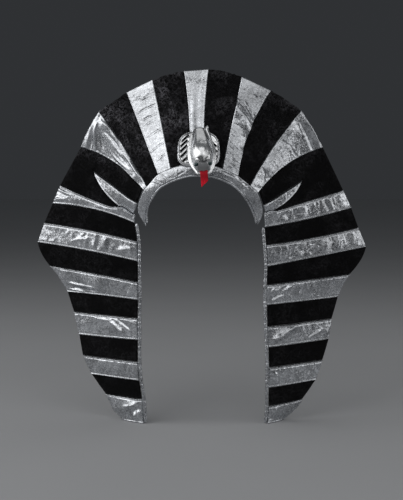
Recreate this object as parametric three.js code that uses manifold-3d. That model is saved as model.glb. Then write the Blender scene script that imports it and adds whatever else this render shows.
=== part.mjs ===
// Pharaoh costume headdress: a padded nemes of silver lamé and black velvet stripes, a cobra on its brow.
// Millimetres, +Z up. It faces along -Y, is open at the back and stands on the tips of its two lappets.
import * as THREE from 'three';
import { mergeVertices } from 'three/addons/utils/BufferGeometryUtils.js';
import Module from 'manifold-3d';

const wasm = await Module();
wasm.setup();

// Cloth: each stripe is a foam-backed wall, thin at its seams and swollen between them.
const SEAM_THICK = 3.4;
const PILLOW = 1.1;
const HEM_THICK = 7;
const HEM_SHARE = 0.25;
const GAP = 0.3;
const TUCK = 4;
const TEMPLE_CLEAR = 0.022;

// Depth of the panel: the brow stands forward, the crest and the wing corners lie back.
const TEMPLE_Z = 296;
const BROW_Z = 331;
const WING_Z = 252;
const TOP_Z = 499;
const BROW_MID_X = -3;
const TEMPLE_HALF = 93;
const BROW_REACH = 34;
const FOOT_BACK = 26;
const WING_BACK = 52;
const CREST_BACK = 15;
const EDGE_ROLL = 3;
const EDGE_FROM = 0.9;
const BULGE_POWER = 4;
const FOLD_START = 0.15;
const CROWN_SCOOP = 1.35;
const LAPPET_CUP = 1.15;

// The part's origin lies under the middle of its box.
const SEAT_X = 1.3;
const SEAT_Y = 5.7;

// Trim.
const BAND_THICK = 3;
const BAND_SWELL = 0.8;
const PIPING_RADIUS = 1.7;
const BINDING_WIDE = 5;
const BINDING_THICK = 6;
const FLOOR_CLEAR = 0.6;

// Cobra: hood and head lie back along the slope of the crown.
const COBRA_AT = { x: -6.1, y: -31.6, z: 387.4 };
const COBRA_TILT = THREE.MathUtils.degToRad(27);
const HOOD = { halfWide: 28, halfTall: 26, square: 2.6, plate: 2.2, rim: 4, rimWide: 3 };
const RIB_SLOT = { count: 5, pitch: 8, long: 7.5, wide: 2, fromMid: 20.8, drawnIn: 4, slant: 0.9 };
const HEAD_SHIFT = 3.4;
const HEAD_ROLL = THREE.MathUtils.degToRad(-5.2);
const HEAD_SIDES = 12;
const JAW = { radius: 1.6, outside: 0.6, height: 3.2, chin: 1 };
const HORN = { x: 4, y: -1, z: 3 };
const EYE = { radius: 2.8, x: 9.6, z: -31.5, sink: 0.8 };
const MOUTH = { wide: 13, tall: 2.6, deep: 9, height: 6 };
const TONGUE = { wide: 11, thick: 1.6, root: 5, lip: 2.5, drop: 18, taper: 0.12 };
const PRONGS = { split: 0.68, parting: 0.55, notch: 0.11, shorter: 0.9 };

// Seams in order from the left foot over the crown to the right foot. Each row's stripe lies between its
// seam and the next. inner is the end at the face opening, outer the end on the outline, bow the seam's
// sideways sag, and bulge how far the stripe's outer end swells between its seams.
const SEAM_COLUMNS = ['stripe', 'cloth', 'innerX', 'innerZ', 'outerX', 'outerZ', 'bow', 'bulge'];
const SEAM_ROWS = [
  ['lappet_left_01', 'silver', -84, 0, -113, 0, 0, 2],
  ['lappet_left_02', 'velvet', -86, 35, -140, 37.5, 0, 0],
  ['lappet_left_03', 'silver', -90, 61, -160, 65, 0, 0],
  ['lappet_left_04', 'velvet', -92, 88, -173, 92, 0, 0],
  ['lappet_left_05', 'silver', -92, 119, -178, 121, 0, 0],
  ['lappet_left_06', 'velvet', -92, 150, -186, 154, 0, 0],
  ['lappet_left_07', 'silver', -91.5, 175.5, -195, 182.5, -1, -3],
  ['lappet_left_08', 'velvet', -91.5, 201, -221, 220, -1.5, 5],
  ['lappet_left_09', 'silver', -92, 230, -238, 253.5, -2, 0],
  ['lappet_left_10', 'velvet', -92.5, 258.5, -228, 282, -2.5, 0],
  ['lappet_left_11', 'silver', -96, 284, -216, 309, -6, 0],
  ['temple_left', 'velvet', -95, 296, -204.5, 336, 2, 0],
  ['crown_01', 'silver', -82.5, 331, -174, 390, -8.5, 2],
  ['crown_02', 'velvet', -77.5, 336, -147, 441, -3, 0],
  ['crown_03', 'silver', -62.5, 353, -108, 467, 0, 0],
  ['crown_04', 'velvet', -44, 361.5, -70.5, 485, 0, 1],
  ['crown_05', 'silver', -18, 367.5, -27, 496.5, -2.8, 0],
  ['crown_06', 'velvet', 3, 367.5, 8, 499, 3.2, 2],
  ['crown_07', 'silver', 26.5, 361, 54, 489, 0, 0],
  ['crown_08', 'velvet', 48.5, 350.5, 96, 469.5, 7, 1],
  ['crown_09', 'silver', 65, 337, 139, 442, 4, 2],
  ['temple_right', 'velvet', 76, 327, 171, 389.5, 9, 0],
  ['lappet_right_11', 'silver', 86, 297, 201, 328.5, 0, 0],
  ['lappet_right_10', 'velvet', 87, 278, 213, 303, -2, 0],
  ['lappet_right_09', 'silver', 89, 253.5, 223.5, 275, -2, 0],
  ['lappet_right_08', 'velvet', 91, 223, 235, 247, 0, 8],
  ['lappet_right_07', 'silver', 90, 197, 212, 208, 0, -2],
  ['lappet_right_06', 'velvet', 90, 168.5, 194.5, 175, 0, 0],
  ['lappet_right_05', 'silver', 91, 138, 185.5, 144, 0, 0],
  ['lappet_right_04', 'velvet', 92.5, 108.5, 181, 114.5, 0, 0],
  ['lappet_right_03', 'silver', 93.5, 80, 172, 85, 0, 0],
  ['lappet_right_02', 'velvet', 93, 51, 162, 56.5, 0, 0],
  ['lappet_right_01', 'silver', 93, 25, 142.5, 30, 0, 5],
  ['', '', 91, 0, 112, 0, 0, 0],
];

// Each temple's tuck, from its upper seam: where the silver leaf starts and ends at the temple, where its
// tip lies across the panel, and how far out along the panel the tip reaches.
const LEAF_CURVE = 1.6;
const LEAF_END = 0.96;
const PLEATS = {
  temple_left: { rootFrom: 0.57, rootTo: 0.98, tip: 0.4, reach: 0.71, upperSeamFirst: false },
  temple_right: { rootFrom: 0.63, rootTo: 0.98, tip: 0.5, reach: 0.59, upperSeamFirst: true },
};

// Soft folds in the panel, each a ridge (rise > 0, towards the front) or valley along a line.
const FOLD_COLUMNS = ['x0', 'z0', 'x1', 'z1', 'rise', 'half'];
const FOLD_ROWS = [
  [-151, 343, -119, 308, 6, 10],
  [-155, 362, -98, 316, 3, 8],
  [-152, 356, -112, 316, -3, 7],
  [146, 342, 100, 304, 5, 9],
  [138, 352, 86, 314, 3, 8],
  [140, 343, 98, 313, -3, 6],
  [-146, 438, -160, 392, 4, 9],
  [-140, 420, -95, 350, 3, 9],
  [142, 436, 168, 394, 4, 9],
  [122, 414, 92, 360, 3, 10],
  [42, 450, 66, 414, 5, 9],
  [70, 424, 62, 392, -4, 8],
  [-196, 205, -150, 196, 3, 10],
  [-186, 268, -128, 246, 2.5, 10],
  [176, 264, 130, 240, 2.5, 10],
  [-128, 12, -94, 26, 3, 9],
  [128, 138, 100, 118, 3, 9],
];

// The brow band's upper and lower edge, from its left tail to its right tail.
const BAND_COLUMNS = ['upperX', 'upperZ', 'lowerX', 'lowerZ'];
const BAND_ROWS = [
  [-81, 282, -79.5, 279.5],
  [-90, 298, -80, 297],
  [-90, 311, -77, 311],
  [-83, 329, -70, 322.5],
  [-73, 341, -61, 333.5],
  [-62.5, 352.5, -51, 340.5],
  [-44, 361.5, -36, 347.5],
  [-20.5, 367.5, -18.5, 352.5],
  [4, 367.5, 3, 352.5],
  [26.5, 361, 20.5, 349],
  [48.5, 350.5, 39.5, 340.5],
  [65, 337, 53, 329],
  [75.5, 327, 63, 316],
  [82, 309.5, 71, 301.5],
  [83, 296.5, 74.5, 290.5],
  [78.5, 284.5, 76, 282],
];

// Cross sections of the cobra's head from the neck down to the snout.
const HEAD_COLUMNS = ['z', 'half', 'rise'];
const HEAD_ROWS = [
  [31, 7.5, 6],
  [24, 9.5, 10],
  [12, 12.5, 16],
  [0, 15.5, 21],
  [-12, 17, 24],
  [-22, 16, 23.5],
  [-31, 13, 20],
  [-37, 9.5, 15],
  [-41, 6.5, 10],
];

const SILVER = { color: 0xc9ccd0, roughness: 0.34, metalness: 0.9 };
const VELVET = { color: 0x0b0b0d, roughness: 0.95, metalness: 0 };
const PLATED = { color: 0xd2d5d8, roughness: 0.22, metalness: 0.95 };
const BEAD = { color: 0x0d2b2c, roughness: 0.12, metalness: 0 };
const FELT = { color: 0xb01226, roughness: 0.9, metalness: 0 };
const CLOTHS = { silver: SILVER, velvet: VELVET };

const named = (columns, rows) => {
  return rows.map((row) => Object.fromEntries(columns.map((key, i) => [key, row[i]])));
};
const mix = (a, b, t) => a + (b - a) * t;
const smooth = (lo, hi, x) => THREE.MathUtils.smoothstep(x, lo, hi);
const arch = (t) => 4 * t * (1 - t);
const stationsFrom = (first, last, count) => {
  return Array.from({ length: count + 1 }, (_, i) => mix(first, last, i / count));
};

const SEAMS = named(SEAM_COLUMNS, SEAM_ROWS);
const FOLDS = named(FOLD_COLUMNS, FOLD_ROWS);
const BAND = named(BAND_COLUMNS, BAND_ROWS);
const HEAD = named(HEAD_COLUMNS, HEAD_ROWS);
const SNOUT = HEAD[HEAD.length - 1];

const headdress = new THREE.Group();
const standing = new THREE.Group();
standing.position.set(SEAT_X, SEAT_Y, 0);
headdress.add(standing);

function addPiece(parent, name, geometry, finish) {
  geometry.computeVertexNormals();
  const mesh = new THREE.Mesh(geometry, new THREE.MeshStandardMaterial(finish));
  mesh.name = name;
  parent.add(mesh);
  return mesh;
}

// Solids joined or cut: geometry to manifold and back.
function solid(geometry) {
  const bare = geometry.clone();
  bare.deleteAttribute('normal');
  bare.deleteAttribute('uv');
  const merged = mergeVertices(bare, 1e-4);
  const vertProperties = new Float32Array(merged.attributes.position.array);
  const triVerts = new Uint32Array(merged.index.array);
  return new wasm.Manifold(new wasm.Mesh({ numProp: 3, vertProperties, triVerts }));
}

function geometryOf(manifold) {
  const mesh = manifold.getMesh();
  const geometry = new THREE.BufferGeometry();
  geometry.setAttribute('position', new THREE.BufferAttribute(mesh.vertProperties, 3));
  geometry.setIndex(new THREE.BufferAttribute(mesh.triVerts, 1));
  return geometry;
}

function meshOf(points, faces) {
  const geometry = new THREE.BufferGeometry();
  geometry.setFromPoints(points);
  geometry.setIndex(faces.flat());
  return geometry;
}

// A padded wall. Each corner of its quads has a place, an outward direction and half a thickness.
// Corners at one place are shared, and every free edge gets a rim.
function paddedWall(quads) {
  const indexOf = new Map();
  const corners = [];
  const index = (corner) => {
    const key = corner.at.toArray().map((value) => value.toFixed(4)).join();
    if (!indexOf.has(key)) {
      indexOf.set(key, corners.length);
      corners.push(corner);
    }
    return indexOf.get(key);
  };
  const faces = [];
  for (const quad of quads) {
    const [a, b, c, d] = quad.map(index);
    faces.push([a, b, c], [a, c, d]);
  }
  const back = corners.length;
  const shifted = (sign) => corners.map((c) => c.at.clone().addScaledVector(c.out, sign * c.half));
  const points = [...shifted(1), ...shifted(-1)];
  const edges = new Set(faces.flatMap(([a, b, c]) => [`${a},${b}`, `${b},${c}`, `${c},${a}`]));
  const rim = [];
  for (const edge of edges) {
    const [a, b] = edge.split(',').map(Number);
    if (!edges.has(`${b},${a}`)) {
      rim.push([b, a, a + back], [b, a + back, b + back]);
    }
  }
  const behind = faces.map(([a, b, c]) => [c + back, b + back, a + back]);
  return meshOf(points, [...faces, ...behind, ...rim]);
}

// Quads between rows of corners, each row running the same way.
function quadsBetween(rows) {
  const quads = [];
  for (let i = 0; i + 1 < rows.length; i += 1) {
    for (let j = 0; j + 1 < rows[i].length; j += 1) {
      quads.push([rows[i][j], rows[i][j + 1], rows[i + 1][j + 1], rows[i + 1][j]]);
    }
  }
  return quads;
}

// A closed body through rings of equal length, capped by fans at both ends.
function loft(rings) {
  const sides = rings[0].length;
  const faces = [];
  for (let i = 0; i + 1 < rings.length; i += 1) {
    for (let j = 0; j < sides; j += 1) {
      const a = i * sides + j;
      const b = i * sides + ((j + 1) % sides);
      faces.push([a, b, b + sides], [a, b + sides, a + sides]);
    }
  }
  const last = (rings.length - 1) * sides;
  for (let j = 1; j + 1 < sides; j += 1) {
    faces.push([0, j + 1, j], [last, last + j, last + j + 1]);
  }
  return meshOf(rings.flat(), faces);
}

// A round or oval roll along a curve, closed at both ends.
function roll(points, across, along, steps, sides) {
  const section = new THREE.Shape();
  section.absellipse(0, 0, across, along, 0, 2 * Math.PI);
  const path = new THREE.CatmullRomCurve3(points);
  const settings = { steps, curveSegments: sides / 2, bevelEnabled: false, extrudePath: path };
  return new THREE.ExtrudeGeometry(section, settings);
}

// Depth of the face opening's edge: the brow follows the head's oval, the lappets hang plumb below it.
function openingDepth(x, z) {
  const across = Math.min(1, Math.abs(x - BROW_MID_X) / TEMPLE_HALF);
  return -BROW_REACH * Math.sqrt(1 - across * across) * smooth(TEMPLE_Z, BROW_Z, z);
}

// Depth of the outline: swept back to the wing corners, forward again to the crest.
function outlineDepth(z) {
  if (z < WING_Z) {
    const low = Math.sin((Math.PI / 2) * (z / WING_Z));
    return mix(FOOT_BACK, WING_BACK, low);
  }
  const high = Math.cos((Math.PI / 2) * Math.min(1, (z - WING_Z) / (TOP_Z - WING_Z)));
  return mix(CREST_BACK, WING_BACK, high);
}

// A point of seam number k at v, from 0 at the face opening to 1 on the outline.
function seamPoint(k, v) {
  const { innerX, innerZ, outerX, outerZ, bow } = SEAMS[k];
  const length = Math.hypot(outerX - innerX, outerZ - innerZ);
  const out = THREE.MathUtils.clamp(v, 0, 1);
  const aside = (bow * arch(out)) / length;
  const inner = openingDepth(innerX, innerZ);
  const crown = smooth(TEMPLE_Z, BROW_Z, innerZ);
  const reach = mix(out ** LAPPET_CUP, 1 - (1 - out) ** CROWN_SCOOP, crown);
  const rolled = EDGE_ROLL * smooth(EDGE_FROM, 2 - EDGE_FROM, v);
  return new THREE.Vector3(
    mix(innerX, outerX, v) - (outerZ - innerZ) * aside,
    mix(inner, outlineDepth(outerZ), reach) + rolled,
    mix(innerZ, outerZ, v) + (outerX - innerX) * aside,
  );
}

function seamNormal(k, v) {
  const step = 0.02;
  const before = seamPoint(Math.max(0, k - 1), v);
  const after = seamPoint(Math.min(SEAMS.length - 1, k + 1), v);
  const out = seamPoint(k, Math.max(0, v) + step).sub(seamPoint(k, Math.max(0, v) - step));
  const normal = after.sub(before).cross(out);
  if (k === 0 || k === SEAMS.length - 1) {
    normal.z = 0;
  }
  return normal.normalize();
}

function foldRise(x, z) {
  let rise = 0;
  for (const fold of FOLDS) {
    const dx = fold.x1 - fold.x0;
    const dz = fold.z1 - fold.z0;
    const t = ((x - fold.x0) * dx + (z - fold.z0) * dz) / (dx * dx + dz * dz);
    const near = THREE.MathUtils.clamp(t, 0, 1);
    const away = Math.hypot(x - fold.x0 - near * dx, z - fold.z0 - near * dz) / fold.half;
    rise += fold.rise * Math.exp(-away * away);
  }
  return rise;
}

// Share of a tip stripe between the floor and u across it, 1 for every other stripe.
function offFloor(k, u) {
  if (k === 0) {
    return u;
  }
  return k === SEAMS.length - 2 ? 1 - u : 1;
}

// A corner of the panel between seams k and k + 1, at u across the stripe and v out from the opening.
function panelCorner(k, u, v, half) {
  const bulge = SEAMS[k].bulge * arch(u) * Math.max(0, v) ** BULGE_POWER;
  const here = seamPoint(k, v).lerp(seamPoint(k + 1, v), u);
  const out = seamNormal(k, v).lerp(seamNormal(k + 1, v), u).normalize();
  const outward = seamPoint(k, 1).sub(seamPoint(k, 0)).setY(0).normalize();
  here.addScaledVector(outward, bulge);
  const shown = Math.min(1, offFloor(k, u) / HEM_SHARE) * smooth(0, FOLD_START, v);
  here.addScaledVector(out, foldRise(here.x, here.z) * shown);
  return { at: here, out, half };
}

// Corners across part of a stripe, from u0(v) to u1(v), inset by half the gap at its seams.
function stripeRows(k, stations, columns, u0, u1) {
  return stations.map((v) => {
    const inset = GAP / 2 / seamPoint(k, v).distanceTo(seamPoint(k + 1, v));
    const from = u0(v) + (k === 0 ? 0 : inset);
    const to = u1(v) - (k === SEAMS.length - 2 ? 0 : inset);
    return stationsFrom(0, 1, columns).map((w) => {
      const u = mix(from, to, w);
      const hem = Math.max(0, 1 - offFloor(k, u) / HEM_SHARE) * (HEM_THICK - SEAM_THICK);
      return panelCorner(k, u, v, (SEAM_THICK + hem) / 2 + PILLOW * arch(w));
    });
  });
}

const tuckedStart = (k) => {
  const { innerX, innerZ, outerX, outerZ } = SEAMS[k];
  return -TUCK / Math.hypot(outerX - innerX, outerZ - innerZ);
};
const LAPPET_STATIONS = [...stationsFrom(0, 0.9, 7), 1];
const crownStations = (k) => [tuckedStart(k), ...stationsFrom(0, 0.92, 8), 1];

function addStripes() {
  const columns = 4;
  for (let k = 0; k + 1 < SEAMS.length; k += 1) {
    const { stripe, cloth } = SEAMS[k];
    if (!(stripe in PLEATS)) {
      const stations = stripe.startsWith('crown') ? crownStations(k) : LAPPET_STATIONS;
      const rows = stripeRows(k, stations, columns, () => 0, () => 1);
      addPiece(standing, `${stripe}_${cloth}`, paddedWall(quadsBetween(rows)), CLOTHS[cloth]);
    }
  }
}

// A temple panel is slit along its tuck up to the pleat's tip. The silver leaf fills the slit.
function addTemple(k) {
  const { stripe, cloth } = SEAMS[k];
  const pleat = PLEATS[stripe];
  const along = (v) => THREE.MathUtils.clamp(v / pleat.reach, 0, 1);
  const upper = (v) => mix(pleat.rootFrom, pleat.tip, along(v));
  const lower = (v) => upper(v) + (pleat.rootTo - pleat.rootFrom) * (1 - along(v) ** LEAF_CURVE);
  const low = (v) => (pleat.upperSeamFirst ? upper(v) : 1 - lower(v));
  const high = (v) => (pleat.upperSeamFirst ? lower(v) : 1 - upper(v));
  const closed = (v) => {
    const wide = seamPoint(k, v).distanceTo(seamPoint(k + 1, v));
    return along(v) < 1 ? 0 : GAP / 2 / wide;
  };
  const beside = stationsFrom(TEMPLE_CLEAR, pleat.reach, 7);
  const beyond = stationsFrom(pleat.reach, 0.92, 4).slice(1);
  const stations = [...beside, ...beyond, 1];
  const below = stripeRows(k, stations, 3, () => 0, (v) => low(v) + closed(v));
  const above = stripeRows(k, stations, 3, (v) => high(v) - closed(v), () => 1);
  const velvet = paddedWall([below, above].flatMap(quadsBetween));
  addPiece(standing, `${stripe}_${cloth}`, velvet, CLOTHS[cloth]);
  const leafStations = stationsFrom(TEMPLE_CLEAR, LEAF_END * pleat.reach, 8);
  const leaf = paddedWall(quadsBetween(stripeRows(k, leafStations, 2, low, high)));
  addPiece(standing, `${stripe}_pleat`, leaf, SILVER);
}

// The band wraps the brow in front of the stripes' tucked ends.
function bandEdge(edge, standoff) {
  const points = BAND.map((row) => {
    const x = row[`${edge}X`];
    const z = row[`${edge}Z`];
    return new THREE.Vector3(x, openingDepth(x, z) - standoff, z);
  });
  return new THREE.CatmullRomCurve3(points);
}

const BAND_STANDOFF = SEAM_THICK / 2 + PILLOW + GAP + BAND_THICK / 2 + BAND_SWELL;

function addBand() {
  const stations = 36;
  const columns = 4;
  const upper = bandEdge('upper', BAND_STANDOFF);
  const lower = bandEdge('lower', BAND_STANDOFF);
  const rows = stationsFrom(0, 1, stations).map((t) => {
    const top = upper.getPoint(t);
    const bottom = lower.getPoint(t);
    const ahead = upper.getTangent(t).add(lower.getTangent(t));
    const out = ahead.cross(top.clone().sub(bottom)).normalize();
    return stationsFrom(0, 1, columns).map((w) => {
      const half = BAND_THICK / 2 + BAND_SWELL * arch(w);
      return { at: bottom.clone().lerp(top, w), out, half };
    });
  });
  const turned = quadsBetween(rows).map((quad) => quad.reverse());
  addPiece(standing, 'brow_band', paddedWall(turned), SILVER);
  const below = stationsFrom(0.02, 0.98, 24).map((t) => {
    const bottom = lower.getPoint(t);
    const away = bottom.clone().sub(upper.getPoint(t)).normalize();
    return bottom.addScaledVector(away, PIPING_RADIUS + GAP);
  });
  addPiece(standing, 'brow_piping', roll(below, PIPING_RADIUS, PIPING_RADIUS, 44, 8), SILVER);
}

// A binding closes the inner ends of the stripes down each lappet.
function addBinding(name, seams, towardsFace) {
  const aside = towardsFace * (BINDING_WIDE / 2 + GAP);
  const points = seams.map(({ innerX, innerZ }) => {
    const z = Math.max(FLOOR_CLEAR, innerZ);
    return new THREE.Vector3(innerX + aside, openingDepth(innerX, z), z);
  });
  addPiece(standing, name, roll(points, BINDING_THICK / 2, BINDING_WIDE / 2, 26, 8), SILVER);
}

// Outline of the hood, a rounded square, drawn inwards by a margin.
function hoodOutline(margin, PathClass) {
  const power = 2 / HOOD.square;
  const points = Array.from({ length: 40 }, (_, i) => {
    const angle = (i / 40) * 2 * Math.PI;
    const across = Math.sign(Math.cos(angle)) * Math.abs(Math.cos(angle)) ** power;
    const up = Math.sign(Math.sin(angle)) * Math.abs(Math.sin(angle)) ** power;
    return new THREE.Vector2((HOOD.halfWide - margin) * across, (HOOD.halfTall - margin) * up);
  });
  return new PathClass(points);
}

// A slot between two ribs of the hood, with round ends, slanting up towards the head.
function ribSlot(side, z) {
  const reach = (RIB_SLOT.long - RIB_SLOT.wide) / 2;
  const lean = side < 0 ? RIB_SLOT.slant : Math.PI - RIB_SLOT.slant;
  const perEnd = 4;
  const mid = side * (RIB_SLOT.fromMid - RIB_SLOT.drawnIn * (z / RIB_SLOT.pitch / 2) ** 2);
  const points = Array.from({ length: 2 * perEnd }, (_, i) => {
    const end = i < perEnd ? 1 : -1;
    const turn = (i % perEnd) / (perEnd - 1) - 0.5 + (end < 0 ? 1 : 0);
    const angle = lean + Math.PI * turn;
    return new THREE.Vector2(
      mid + end * reach * Math.cos(lean) + (RIB_SLOT.wide / 2) * Math.cos(angle),
      z + end * reach * Math.sin(lean) + (RIB_SLOT.wide / 2) * Math.sin(angle),
    );
  });
  return new THREE.Path(points);
}

function addHood(cobra) {
  const plate = hoodOutline(0, THREE.Shape);
  for (let i = 0; i < RIB_SLOT.count; i += 1) {
    const z = (i - (RIB_SLOT.count - 1) / 2) * RIB_SLOT.pitch;
    plate.holes.push(ribSlot(-1, z), ribSlot(1, z));
  }
  const rim = hoodOutline(0, THREE.Shape);
  rim.holes.push(hoodOutline(HOOD.rimWide, THREE.Path));
  const raised = (shape, depth) => {
    const settings = { depth, curveSegments: 3, bevelEnabled: false };
    return solid(new THREE.ExtrudeGeometry(shape, settings));
  };
  const hood = geometryOf(raised(plate, HOOD.plate).add(raised(rim, HOOD.rim)));
  hood.rotateX(Math.PI / 2);
  addPiece(cobra, 'cobra_hood', hood, PLATED);
}

const HEAD_BACK = HOOD.rim + GAP;

// Half width of the head and height of its dome over the hood, at z along it.
function headSection(z) {
  const rows = HEAD.filter((row) => row.z >= z);
  const above = rows[rows.length - 1];
  const below = HEAD[rows.length];
  const t = (above.z - z) / (above.z - below.z);
  return { half: mix(above.half, below.half, t), rise: mix(above.rise, below.rise, t) };
}

function headRing({ z, half, rise }) {
  return Array.from({ length: HEAD_SIDES + 1 }, (_, j) => {
    const angle = (Math.PI * j) / HEAD_SIDES;
    return new THREE.Vector3(half * Math.cos(angle), -HEAD_BACK - rise * Math.sin(angle), z);
  });
}

function eyeCentre(side) {
  const { half, rise } = headSection(EYE.z);
  const height = rise * Math.sqrt(1 - (EYE.x / half) ** 2) - EYE.sink;
  return new THREE.Vector3(side * EYE.x, -HEAD_BACK - height, EYE.z);
}

// The jaw is a roll from the horn round the chin to the neck's other side.
function jawPoints() {
  const height = -HEAD_BACK - JAW.height;
  const right = HEAD.map(({ z, half }) => new THREE.Vector3(half + JAW.outside, height, z));
  const left = right.map((point) => point.clone().setX(-point.x)).reverse();
  const chin = new THREE.Vector3(0, height, SNOUT.z - JAW.chin);
  const horn = right[0].clone().add(new THREE.Vector3(HORN.x, HORN.y, HORN.z));
  return [horn, ...right.slice(1), chin, ...left.slice(0, -1)];
}

function addHead(head) {
  const jaw = roll(jawPoints(), JAW.radius, JAW.radius, 44, 6);
  const slot = new THREE.BoxGeometry(MOUTH.wide, MOUTH.tall, 2 * MOUTH.deep);
  slot.translate(0, -HEAD_BACK - MOUTH.height, SNOUT.z - JAW.chin);
  let body = solid(loft(HEAD.map(headRing))).add(solid(jaw)).subtract(solid(slot));
  for (const side of [-1, 1]) {
    const { x, y, z } = eyeCentre(side);
    const bead = (radius) => new THREE.SphereGeometry(radius, 12, 8).translate(x, y, z);
    body = body.subtract(solid(bead(EYE.radius + GAP)));
    addPiece(head, side < 0 ? 'cobra_eye_left' : 'cobra_eye_right', bead(EYE.radius), BEAD);
  }
  addPiece(head, 'cobra_head', geometryOf(body), PLATED);
}

// The felt tongue leaves the mouth slot and hangs plumb, with two prongs of unequal length.
function addTongue(head) {
  const plumb = new THREE.Vector3(0, Math.sin(COBRA_TILT), -Math.cos(COBRA_TILT));
  const root = new THREE.Vector3(0, -HEAD_BACK - MOUTH.height, SNOUT.z + TONGUE.root);
  const lip = root.clone().setZ(SNOUT.z - TONGUE.lip);
  const bend = lip.clone().addScaledVector(plumb, 0.4 * TONGUE.drop);
  const tip = lip.clone().addScaledVector(plumb, TONGUE.drop);
  const path = new THREE.CatmullRomCurve3([root, lip, bend, tip]);
  const corner = (t, w) => {
    const at = path.getPoint(t);
    const out = new THREE.Vector3(-1, 0, 0).cross(path.getTangent(t)).normalize();
    at.x += (w - 0.5) * TONGUE.wide * (1 - TONGUE.taper * t);
    return { at, out, half: TONGUE.thick / 2 };
  };
  const stem = stationsFrom(0, PRONGS.split, 7).map((t) => [0, PRONGS.parting, 1].map((w) => corner(t, w)));
  const prong = (reach, from, fromEnd, to, toEnd) => {
    return stationsFrom(0, 1, 2).map((s) => {
      const t = mix(PRONGS.split, reach, s);
      return [corner(t, mix(from, fromEnd, s)), corner(t, mix(to, toEnd, s))];
    });
  };
  const longer = prong(1, 0, 0, PRONGS.parting, PRONGS.parting - PRONGS.notch);
  const shorter = prong(PRONGS.shorter, PRONGS.parting, PRONGS.parting + PRONGS.notch, 1, 1);
  const facing = [stem, longer, shorter].flatMap(quadsBetween).map((quad) => quad.reverse());
  addPiece(head, 'cobra_tongue', paddedWall(facing), FELT);
}

function addCobra() {
  const cobra = new THREE.Group();
  cobra.position.set(COBRA_AT.x, COBRA_AT.y, COBRA_AT.z);
  cobra.rotation.x = -COBRA_TILT;
  standing.add(cobra);
  const head = new THREE.Group();
  head.position.x = HEAD_SHIFT;
  head.rotation.y = HEAD_ROLL;
  cobra.add(head);
  addHood(cobra);
  addHead(head);
  addTongue(head);
}

const seamNumber = (stripe) => SEAMS.findIndex((row) => row.stripe === stripe);

addStripes();
addTemple(seamNumber('temple_left'));
addTemple(seamNumber('temple_right'));
addBand();
addBinding('edge_binding_left', SEAMS.slice(0, seamNumber('temple_left')), 1);
addBinding('edge_binding_right', SEAMS.slice(seamNumber('lappet_right_10')), -1);
addCobra();

export default headdress;
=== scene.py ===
"""Looks of the pharaoh headdress: crinkled silver lamé, crushed velvet, plated cobra and felt tongue."""

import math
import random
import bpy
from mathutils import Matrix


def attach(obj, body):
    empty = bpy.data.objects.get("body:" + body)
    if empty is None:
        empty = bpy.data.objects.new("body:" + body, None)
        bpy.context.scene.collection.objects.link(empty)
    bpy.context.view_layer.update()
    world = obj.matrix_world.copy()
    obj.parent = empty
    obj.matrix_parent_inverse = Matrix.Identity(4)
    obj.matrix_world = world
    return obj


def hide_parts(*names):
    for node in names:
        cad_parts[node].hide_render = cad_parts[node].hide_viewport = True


bl_info = {
    "name": "Pharaoh headdress",
    "version": (1, 0, 0),
    "blender": (4, 5, 0),
    "location": "View3D > Sidebar > Headdress",
    "description": "Dresses the packed headdress in lamé, velvet, plated plastic and felt",
    "category": "Object",
}

import bmesh
import bpy
import numpy as np
from mathutils import Matrix, Vector, noise

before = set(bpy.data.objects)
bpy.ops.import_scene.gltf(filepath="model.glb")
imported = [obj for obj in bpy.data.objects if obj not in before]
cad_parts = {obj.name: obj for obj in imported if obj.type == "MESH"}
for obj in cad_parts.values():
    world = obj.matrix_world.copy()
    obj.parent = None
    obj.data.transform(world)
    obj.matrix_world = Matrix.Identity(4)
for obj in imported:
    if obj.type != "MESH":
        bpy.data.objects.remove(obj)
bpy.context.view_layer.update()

MM = 0.001
FRONT = np.array([0.0, -1.0, 0.0])

# The panel's own sizes, in millimetres before the part's seat is added.
SEAT = np.array([1.3, 5.7, 0.0])
SEAM_THICK = 3.4
HEM_THICK = 7.0
HEM_SHARE = 0.25
GAP = 0.3
TUCK = 4.0
TEMPLE_CLEAR = 0.022
TEMPLE_Z = 296.0
BROW_Z = 331.0
WING_Z = 252.0
TOP_Z = 499.0
BROW_MID_X = -3.0
TEMPLE_HALF = 93.0
BROW_REACH = 34.0
FOOT_BACK = 26.0
WING_BACK = 52.0
CREST_BACK = 15.0
EDGE_ROLL = 3.0
EDGE_FROM = 0.9
BULGE_POWER = 4
FOLD_START = 0.15
CROWN_SCOOP = 1.35
LAPPET_CUP = 1.15

# Edges of the cloth: radius of their round on lamé and on velvet, the share of the thickness left at the edge, how
# much thinner velvet is, and how far its edge on the crown frays.
LAME_ROUND = 1.3
VELVET_ROUND = 2.2
EDGE_LEAST = 0.2
VELVET_THIN = 0.5
FRAY = 1.4

# A lamé stripe's turned edge: its place in from the seam, half width, share on the crown and the gathers' step.
BEAD_IN = 1.2
BEAD_HALF = 0.7
BEAD_ON_CROWN = 0.15
BEAD_STEP = 3.1

# Unevenness of each cloth: layers of noise as (size, rise, shift of the seed).
STRIPE_GRIT = ((9.0, 0.3, 0), (3.2, 0.05, 5))
STRIPE_SWAY = ((17.0, 0.05, 9),)
STRIPE_FRAY = ((2.6, FRAY, 2),)
TEMPLE_GRIT = ((11.0, 0.5, 0), (4.0, 0.15, 3))
LEAF_GRIT = ((5.0, 0.25, 0),)
BAND_GRIT = ((7.0, 0.22, 0),)
ROLL_GRIT = ((6.0, 0.15, 0),)

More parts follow.
